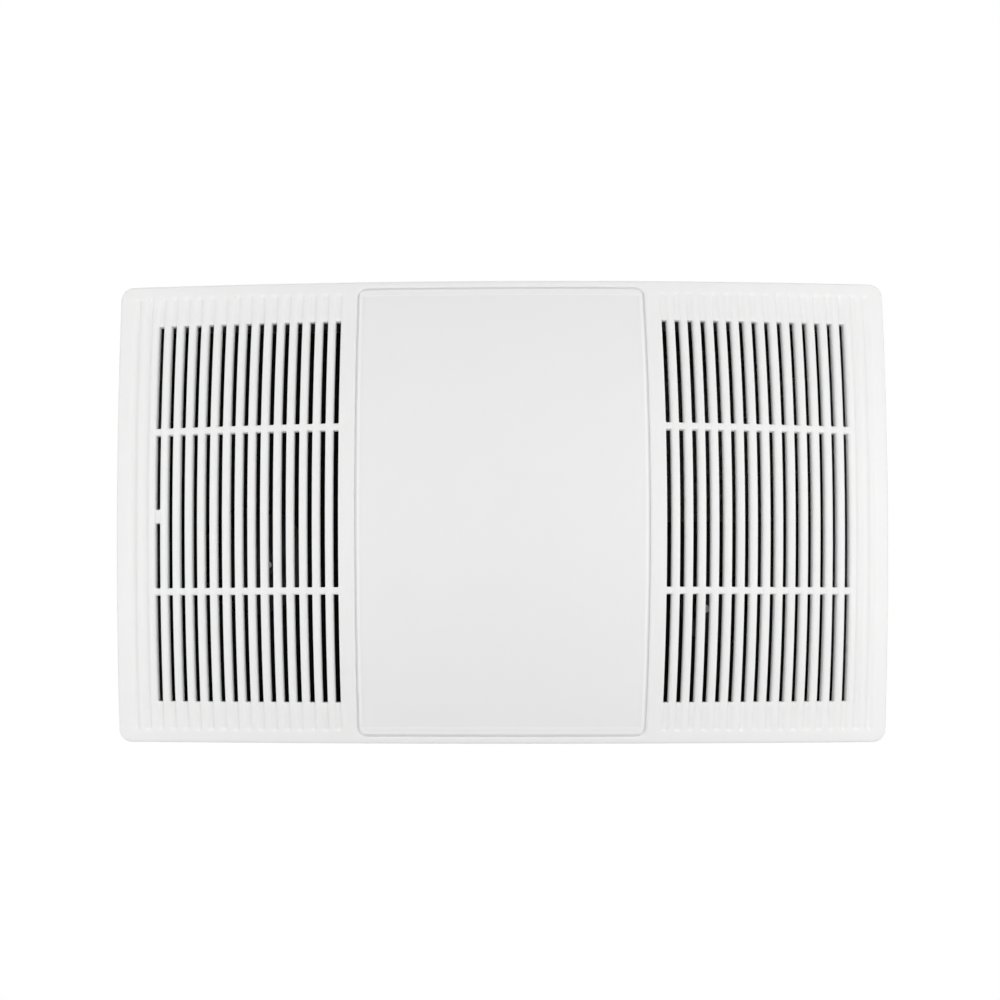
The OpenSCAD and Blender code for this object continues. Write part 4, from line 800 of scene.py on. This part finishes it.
# The crown form lifts a flat plan onto the grille's crown. Points whose attribute "flat" is 1 stay level.
crown_sizes = {"Length": 0.498, "Width": 0.298, "End Rise": 0.0282, "Side Rise": 0.025, "Corner Rise": 0.0356,
               "Rim Height": 0.0044}
crown, given = new_form("crown", crown_sizes)
spot = given["Geometry"].node("GeometryNodeInputPosition")
spot = spot.node("ShaderNodeSeparateXYZ", {"Vector": spot})
across = spot.out("X") * 2.0 / given["Length"]
along = spot.out("Y") * 2.0 / given["Width"]
across, along = across * across, along * along
twist = given["End Rise"] + given["Side Rise"] - given["Corner Rise"]
rise = given["End Rise"] * across + given["Side Rise"] * along - twist * across * along
lift = rise - given["Corner Rise"] - given["Rim Height"]
keep = spot.node("GeometryNodeInputNamedAttribute", {"Name": "flat"}, data_type="FLOAT")
offset = spot.vector(Z=lift * (1.0 - keep))
end_form(offset.node("GeometryNodeSetPosition", {"Geometry": given["Geometry"], "Offset": offset}),
         given["Material"])


def grid_mesh(name, points, quads, flat, weld=False):
    """A mesh in metres from points in millimetres, with the attribute that the crown form reads."""
    mesh = bpy.data.meshes.new(name)
    mesh.from_pydata((np.asarray(points) * 0.001).tolist(), [], quads)
    mesh.attributes.new("flat", "FLOAT", "POINT").data.foreach_set("value", np.asarray(flat, dtype=np.float32))
    work = bmesh.new()
    work.from_mesh(mesh)
    if weld:
        bmesh.ops.remove_doubles(work, verts=work.verts, dist=1e-7)
        bmesh.ops.recalc_face_normals(work, faces=work.faces)
    bmesh.ops.delete(work, geom=[vert for vert in work.verts if not vert.link_faces], context="VERTS")
    work.to_mesh(mesh)
    work.free()
    return mesh


# In millimetres. Two blind grooves run outboard of the slots, and a web crosses the last slot on the left.
half_l, half_w, recess_x, recess_y, window_x, window_y = 249, 149, 91.9, 144.1, 78, 110
slot_half, pitch, first_slot = 1.85, 8.31, 104.05
channels = [first_slot + pitch * n for n in range(17)]
slots = channels[:15]
slot_end, last_end, groove_end = 121.7, 122.3, 140.6
bar_low, bar_high, web_low, web_high = 49.3, 53.5, -1.3, 7.3

# Lines of the grid. The face has all of them, and the back has the coarse ones.
edge_steps = [0, 0.02, 0.07, 0.15, 0.27, 0.43, 0.63, 0.9, 1.3, 2.5, 2.55, 4.5, 6.5, 8.5]
coarse = [half_l - e for e in edge_steps] + [0, 6, 26, 39, 52, 65, window_x]
coarse += [12.95, 13, 94.1, 94.15, 97, 100.3, 100.35, 152.28, 152.33, 154.33, 154.38]
coarse += [224.1, 224.15, 226.45, 226.5, 232.5, 232.55]
coarse += [85.7, 87.5, 89.2, 90.6, 91.5, 91.85, 91.9, 91.96, 92.1, 92.35, 92.7, 93.1, 93.5, 93.9]
fine = coarse + [centre + out for centre in channels
                 for out in (-2.6, -2.1, -slot_half, -1.3, 1.1, slot_half, 1.97, 2.2, 2.6, 3.2, 3.9)]
coarse += [centre + s * slot_half for centre in slots for s in (-1, 1)]
rows = [half_w - e for e in edge_steps] + [0, 10, 20, 30, 40, 62, 72, 82, 92, 102, window_y, 115.95, 116]
rows += [48.6, bar_low, 49.5, 49.8, 51.35, 51.4, 53.0, 53.3, 53.4, 53.45, bar_high, 54.2]
rows += [121.0, slot_end, 122.0, last_end, 122.7, 124.7, 124.75, 127.45, 127.5, 130, 130.05, 133.5, 133.55]
rows += [137.9, 138.7, 139.3, 139.8, 140.3, 140.8, 141.3, 142.5]
rows += [143.2, 144.05, 144.1, 144.18, 144.35, 144.7, 145.2, 145.7, 146.1, 146.3, 146.35]
rows = np.concatenate([mirrored(*rows), [-2.0, web_low, -1.1, -0.8, 3.0, 6.8, 7.1, web_high, 8.0]])
fine, coarse, rows = (np.unique(np.round(lines, 3)) for lines in (mirrored(*fine), mirrored(*coarse), rows))
coarse_at = np.searchsorted(fine, coarse)
plan_x, plan_y = np.meshgrid(fine, rows, indexing="ij")
side, reach_y = np.abs(plan_x), np.abs(plan_y)
from_edge = np.minimum(half_l - side, half_w - reach_y)

# Depth of the face into the moulding: a soft outer edge, the recess, then grooves with rounded lips.
edge_r, lip_width, lip_depth, recess_depth = 1.3, 2.0, 1.1, 3.3
depth = np.where(from_edge < edge_r,
                 edge_r - np.sqrt(np.clip(edge_r**2 - (edge_r - from_edge) ** 2, 0, None)), 0.0)
past = np.maximum(side - recess_x, reach_y - recess_y)
lip = np.clip(1 - past / lip_width, 0, 1)
depth += np.where(past >= -1e-6, lip_depth * (1 - np.sqrt(1 - 0.99 * lip**2)), 0.0)
depth = np.where(past < -0.01, recess_depth, depth)

# The rib's side that faces the middle rolls off over 2 mm, its other side is crisper.
for centre in channels:
    out = side - centre
    from_axis = np.hypot(out - 0.15, np.clip(reach_y - groove_end + 1.9, 0, None))
    soft = 1.9 + 0.7 * np.clip((out - 0.15) / 2, -1, 1)
    groove = 0.95 * ramp((2 + soft / 2 - from_axis) / soft)
    shoulder = np.clip((3.9 - out) / 2.05, 0, 1)
    roll = (0.85 * shoulder**1.7 + 0.75 * (1 - np.sqrt(1 - 0.99 * shoulder**2))) * (out > slot_half - 0.01)
    roll += 0.3 * ramp((out + 2.6) / 0.75) ** 2 * (out < 0.01 - slot_half)
    along_slot = ramp((slot_end + 1.0 - reach_y) / 2.0) if centre in slots else 0.0
    on_bar = ramp(1 - (np.abs(reach_y - 51.4) - 1.6) / 1.0) if centre in slots else 0.0
    mixed = groove + (roll - groove) * along_slot * (np.abs(out) > slot_half - 0.01)
    mixed = mixed * (1 - 0.75 * on_bar)
    depth = np.where((out > -2.61) & (out < 3.91) & (past > 0.69), np.maximum(depth, mixed), depth)


def over_slot(x, half):
    """Whether x lies within a half width of a slot's middle."""
    return np.min([np.abs(np.abs(x) - centre) for centre in slots], axis=0) < half


def end_roll(past):
    """How far a slot's end rolls off, from the distance past it."""
    return 0.3 * (np.clip(1 - past / 0.5, 0, 1) * (past > -1e-4)) ** 2


in_slot = over_slot(plan_x, slot_half - 0.01)
for past in (reach_y - bar_low, bar_high - reach_y, reach_y - np.where(plan_y > 0, last_end, slot_end)):
    depth += in_slot * end_roll(past)
by_web = in_slot & (plan_x < slot_half - slots[-1]) & (np.abs(plan_y - 3) < 4.4)
for past in (plan_y - web_low, web_high - plan_y):
    depth += by_web * end_roll(past)

# The open cells: slots between the bars, less one web, and the light's window.
mid_x = (fine[:-1, None] + fine[1:, None]) / 2
mid_y = (rows[None, :-1] + rows[None, 1:]) / 2
opened = over_slot(mid_x, slot_half) & (mid_y > -slot_end) & (mid_y < last_end)
opened &= (np.abs(mid_y) < bar_low) | (np.abs(mid_y) > bar_high)
opened &= (mid_x > slot_half - slots[-1]) | (mid_y < web_low) | (mid_y > web_high)
opened |= (np.abs(mid_x) < window_x) & (np.abs(mid_y) < window_y)

# The outline and the recess have round corners, and the corners of the slots are drawn in a little.
bent_x, bent_y = round_corner(plan_x, plan_y, 2 * half_l, 2 * half_w, 8.5)
bent_x, bent_y = round_corner(bent_x, bent_y, 2 * recess_x, 2 * recess_y, 6.2, fade=2.2)
slot_ends = [(-slot_end, 1), (last_end, -1)]
slot_ends += [(s * y, s * way) for s in (-1, 1) for y, way in ((bar_low, -1), (bar_high, 1))]
for centre in [s * centre for centre in slots for s in (-1, 1)]:
    web_ends = [(web_low, -1), (web_high, 1)] if centre == -slots[-1] else []
    for y, way in slot_ends + web_ends:
        corner = (np.abs(plan_x - centre).round(3) == slot_half) & (plan_y.round(3) == round(y, 3))
        bent_x += corner * 0.2 * np.sign(centre - plan_x)
        bent_y += corner * 0.2 * way

# The back: wall, ribs, ledge, then the posts, spring bosses and rim, which end at a level.
back, level = np.full_like(side, 2.5), np.zeros_like(side)
back[(side > 100.32) & (side < 224.12) & (reach_y < 124.72)] = 5.0
back[(side < 94.12) & (reach_y < 146.32)] = 5.5
posts = (np.abs(side - 229.5) < 3.01) & (np.abs(reach_y - 52.4) < 1.01)
posts |= (np.abs(side - 153.33) < 1.01) & (np.abs(reach_y - 130.5) < 3.01)
bosses = (side < 13.01) & (reach_y > 115.98) & (reach_y < 130.02)
for raised, height in ((posts, -0.3), (bosses, -14.869), (from_edge < 2.51, 0.0)):
    back[raised], level[raised] = height, 1.0

# The slots' walls lean by a slight draft. Walls stand where a closed cell meets an open one.
draft = np.isin(np.abs(coarse).round(3), np.round(np.array(slots) + slot_half, 3)) * 0.2 * np.sign(coarse)
points = np.concatenate([
    np.stack([bent_x, bent_y, depth], -1).reshape(-1, 3),
    np.stack([bent_x[coarse_at] - draft[:, None], bent_y[coarse_at], back[coarse_at]], -1).reshape(-1, 3)])
flat = np.concatenate([np.zeros(plan_x.size), level[coarse_at].reshape(-1)])
front_id = np.arange(plan_x.size).reshape(plan_x.shape)
back_id = np.full(plan_x.shape, -1)
back_id[coarse_at] = plan_x.size + np.arange(len(coarse) * len(rows)).reshape(-1, len(rows))
front_id, back_id = front_id.tolist(), back_id.tolist()
faces = [(front_id[i][j], front_id[i][j + 1], front_id[i + 1][j + 1], front_id[i + 1][j])
         for i, j in zip(*np.nonzero(~opened))]
shut = np.pad(~opened[coarse_at[:-1]], 1)
for n, (a, b) in enumerate(zip(coarse_at[:-1], coarse_at[1:]), 1):
    faces += [(back_id[a][j], back_id[b][j], back_id[b][j + 1], back_id[a][j + 1])
              for j in range(len(rows) - 1) if shut[n, j + 1]]
    for j in range(len(rows)):
        if shut[n, j] != shut[n, j + 1]:
            wall = [line[j] for line in front_id[a:b + 1]] + [back_id[b][j], back_id[a][j]]
            faces.append(wall if shut[n, j + 1] else wall[::-1])
for n, a in enumerate(coarse_at):
    for j in range(len(rows) - 1):
        if shut[n, j + 1] != shut[n + 1, j + 1]:
            wall = [front_id[a][j], front_id[a][j + 1], back_id[a][j + 1], back_id[a][j]]
            faces.append(wall if shut[n, j + 1] else wall[::-1])
grille = shape("grille_moulding", crown, finishes["grille_white"], crown_sizes,
               grid_mesh("grille_plan", points, faces, flat))
fit(grille, "grille_assembly", "grille_plastic", "grille")


# Light panel
# A white tile that closes the light's window. Its face stands a little proud of a lower border, its edges are
# bevelled, and four clips hold it over the grille's ledge.
# The tile's border is painted brighter as a highlight, and its flange darker as the shade in the joint.
satin_plastic("panel_white", (0.854, 0.854, 0.854), (0.868, 0.868, 0.866), 0.5, (0.0889, 0.1411))
corner_r, corner_x, corner_y = 5.0, 85.7, 137.9
line_x = [-corner_x, *(8.2 * n for n in range(-10, 11)), corner_x]
line_y = [-corner_y, *(9.5 * n for n in range(-14, 15)), corner_y]
arc = [(math.cos(math.radians(a)), math.sin(math.radians(a))) for a in np.linspace(0, 90, 9)]

# Each ring is (inset, depth), from the middle of the face over the edge to the back.
rings = [(5, -0.6), (4.6, -0.59), (4, -0.53), (3.4, -0.41), (2.8, -0.25), (2.3, -0.11), (1.9, -0.03), (1.6, 0),
         (0.55, 0), (0.25, 0.05), (0.07, 0.2), (0, 0.45), (-0.1, 0.75), (-0.45, 0.85), (-0.9, 0.9), (-1.13, 1),
         (-1.16, 1.4), (-1.16, 2.8), (-0.9, 3), (5, 3)]
points, faces = [], []
for inset, z in rings:
    r = corner_r - inset
    for sx, sy, line in ((1, 1, line_x[::-1]), (-1, 1, line_y[::-1]), (-1, -1, line_x), (1, -1, line_y)):
        turned = arc if sx == sy else [(s, c) for c, s in arc]
        points += [(sx * (corner_x + r * c), sy * (corner_y + r * s), z) for c, s in turned]
        points += [(v, sy * (corner_y + r), z) if sx == sy else (sx * (corner_x + r), v, z) for v in line[1:-1]]
count = len(points) // len(rings)
for n in range(0, len(points) - count, count):
    faces += band(n, n + count, count)
for z in (rings[0][1], rings[-1][1]):
    faces += grid_quads(len(points) + np.arange(len(line_x) * len(line_y)).reshape(len(line_x), -1))
    points += [(x, y, z) for x in line_x for y in line_y]
flat = [0.0] * len(points)

# The clips stay level. They start inside the crowned tile and end over the ledge.
clip_x, clip_y, clip_half = 55, 109.7, 5
across, along = (clip_x / half_l) ** 2, (clip_y / half_w) ** 2
end_rise, side_rise, corner_rise, rim = (1000 * rise for rise in list(crown_sizes.values())[2:])
face = end_rise * across + side_rise * along - (end_rise + side_rise - corner_rise) * across * along
foot, top = face - corner_rise - rim + 2.6, face - corner_rise - rim + 6.35
outline = [(0, foot), (0, top), (1.2, top), (1.6, top + 0.5), (1.2, top + 1.3), (-1.2, top + 1.6),
           (-1.6, top + 1.2), (-1.6, foot)]
count = len(outline)
for sx, sy in ((-1, -1), (-1, 1), (1, -1), (1, 1)):
    n = len(points)
    points += [(sx * clip_x + edge, sy * (clip_y + out), z)
               for edge in (-clip_half, clip_half) for out, z in outline]
    flat += [1.0] * (2 * count)
    faces += [tuple(range(n, n + count)), tuple(range(n + 2 * count - 1, n + count - 1, -1))]
    faces += band(n, n + count, count)
panel = shape("light_tile", crown, finishes["panel_white"], crown_sizes,
              grid_mesh("panel_plan", points, faces, flat, weld=True), smooth=30)
fit(panel, "grille_assembly", "panel_plastic", "light_panel")


# Camera
# Straight up from below, a little to one side, as in the photograph.
seen_right, seen_up, seen_back = -0.0166, -0.0107, 0.0011
turn = Matrix.Rotation(seen_back, 3, "Z") @ Matrix.Rotation(seen_up, 3, "Y")
turn = turn @ Matrix.Rotation(seen_right, 3, "X")
upside = Matrix(((1, 0, 0), (0, -1, 0), (0, 0, -1)))
camera_data = bpy.data.cameras.new("camera")
camera_data.sensor_width = 36.0
camera_data.lens = 35.10
camera_data.shift_x = 0.04726
camera_data.shift_y = 0.10868
camera_data.clip_start = 0.02
camera = linked("camera", camera_data)
camera.matrix_world = Matrix.Translation((-0.02438, 0.07285, -0.64)) @ (upside @ turn.transposed()).to_4x4()
bpy.context.scene.camera = camera


# Light and room
# Large soft lamps round the grille and over the housing, a pale floor well below, and a white background.
def softbox(name, place, width, power, aim=(0, 0, 0)):
    lamp = bpy.data.lights.new(name, "AREA")
    lamp.shape = "SQUARE"
    lamp.size = width
    lamp.energy = power
    made = linked(name, lamp)
    turn = (Vector(aim) - Vector(place)).to_track_quat("-Z", "Y")
    made.matrix_world = Matrix.Translation(place) @ turn.to_matrix().to_4x4()
    made.visible_camera = False


softbox("lamp_right", (0.6, -0.02, -0.6), 0.45, 2.15)
softbox("lamp_left", (-0.6, -0.02, -0.6), 0.45, 1.9)
softbox("lamp_far", (0.1, -1.2, -0.9), 0.9, 4.2)
softbox("lamp_near", (0.0, 1.2, -1.0), 0.9, 5.1)
softbox("lamp_over", (0.3, -0.5, 1.7), 1.6, 7.5, (0, 0, 0.1))
softbox("lamp_over_back", (-0.9, 1.2, 1.2), 1.2, 3.0, (0, 0, 0.1))

world = bpy.context.scene.world = bpy.data.worlds.new("world")
ray = emptied(world).node("ShaderNodeLightPath", output="Is Camera Ray")
shown = ray.maths("MAXIMUM", ray, ray.out("Is Glossy Ray"))
shown = ray.maths("MAXIMUM", shown, ray.out("Is Transmission Ray"))
sky = ray.node("ShaderNodeBackground", {"Color": (1, 1, 1, 1), "Strength": 0.38 + 0.62 * shown})
sky.node("ShaderNodeOutputWorld", {"Surface": sky})

floor_mesh = bpy.data.meshes.new("floor")
floor_mesh.from_pydata([(-60, -60, -1.1), (60, -60, -1.1), (60, 60, -1.1), (-60, 60, -1.1)], [], [(0, 1, 2, 3)])
floor = linked("floor", floor_mesh)
place = new_finish("floor_pale")
ray = place.node("ShaderNodeLightPath", output="Is Camera Ray")
matt = place.node("ShaderNodeBsdfDiffuse", {"Color": (0.9, 0.9, 0.9, 1)})
white = place.node("ShaderNodeEmission", {"Color": (1, 1, 1, 1), "Strength": 1.0})
reach = place.node("ShaderNodeVectorMath", {0: place}, 1, operation="LENGTH")
ray = ray * (0.8 + 0.2 * reach.between(0.8, 4.0))
mixed = place.node("ShaderNodeMixShader", {0: ray, 1: matt, 2: white})
place.node("ShaderNodeOutputMaterial", {"Surface": mixed})
floor_mesh.materials.append(finishes["floor_pale"])

bpy.context.scene.view_settings.view_transform = "Standard"
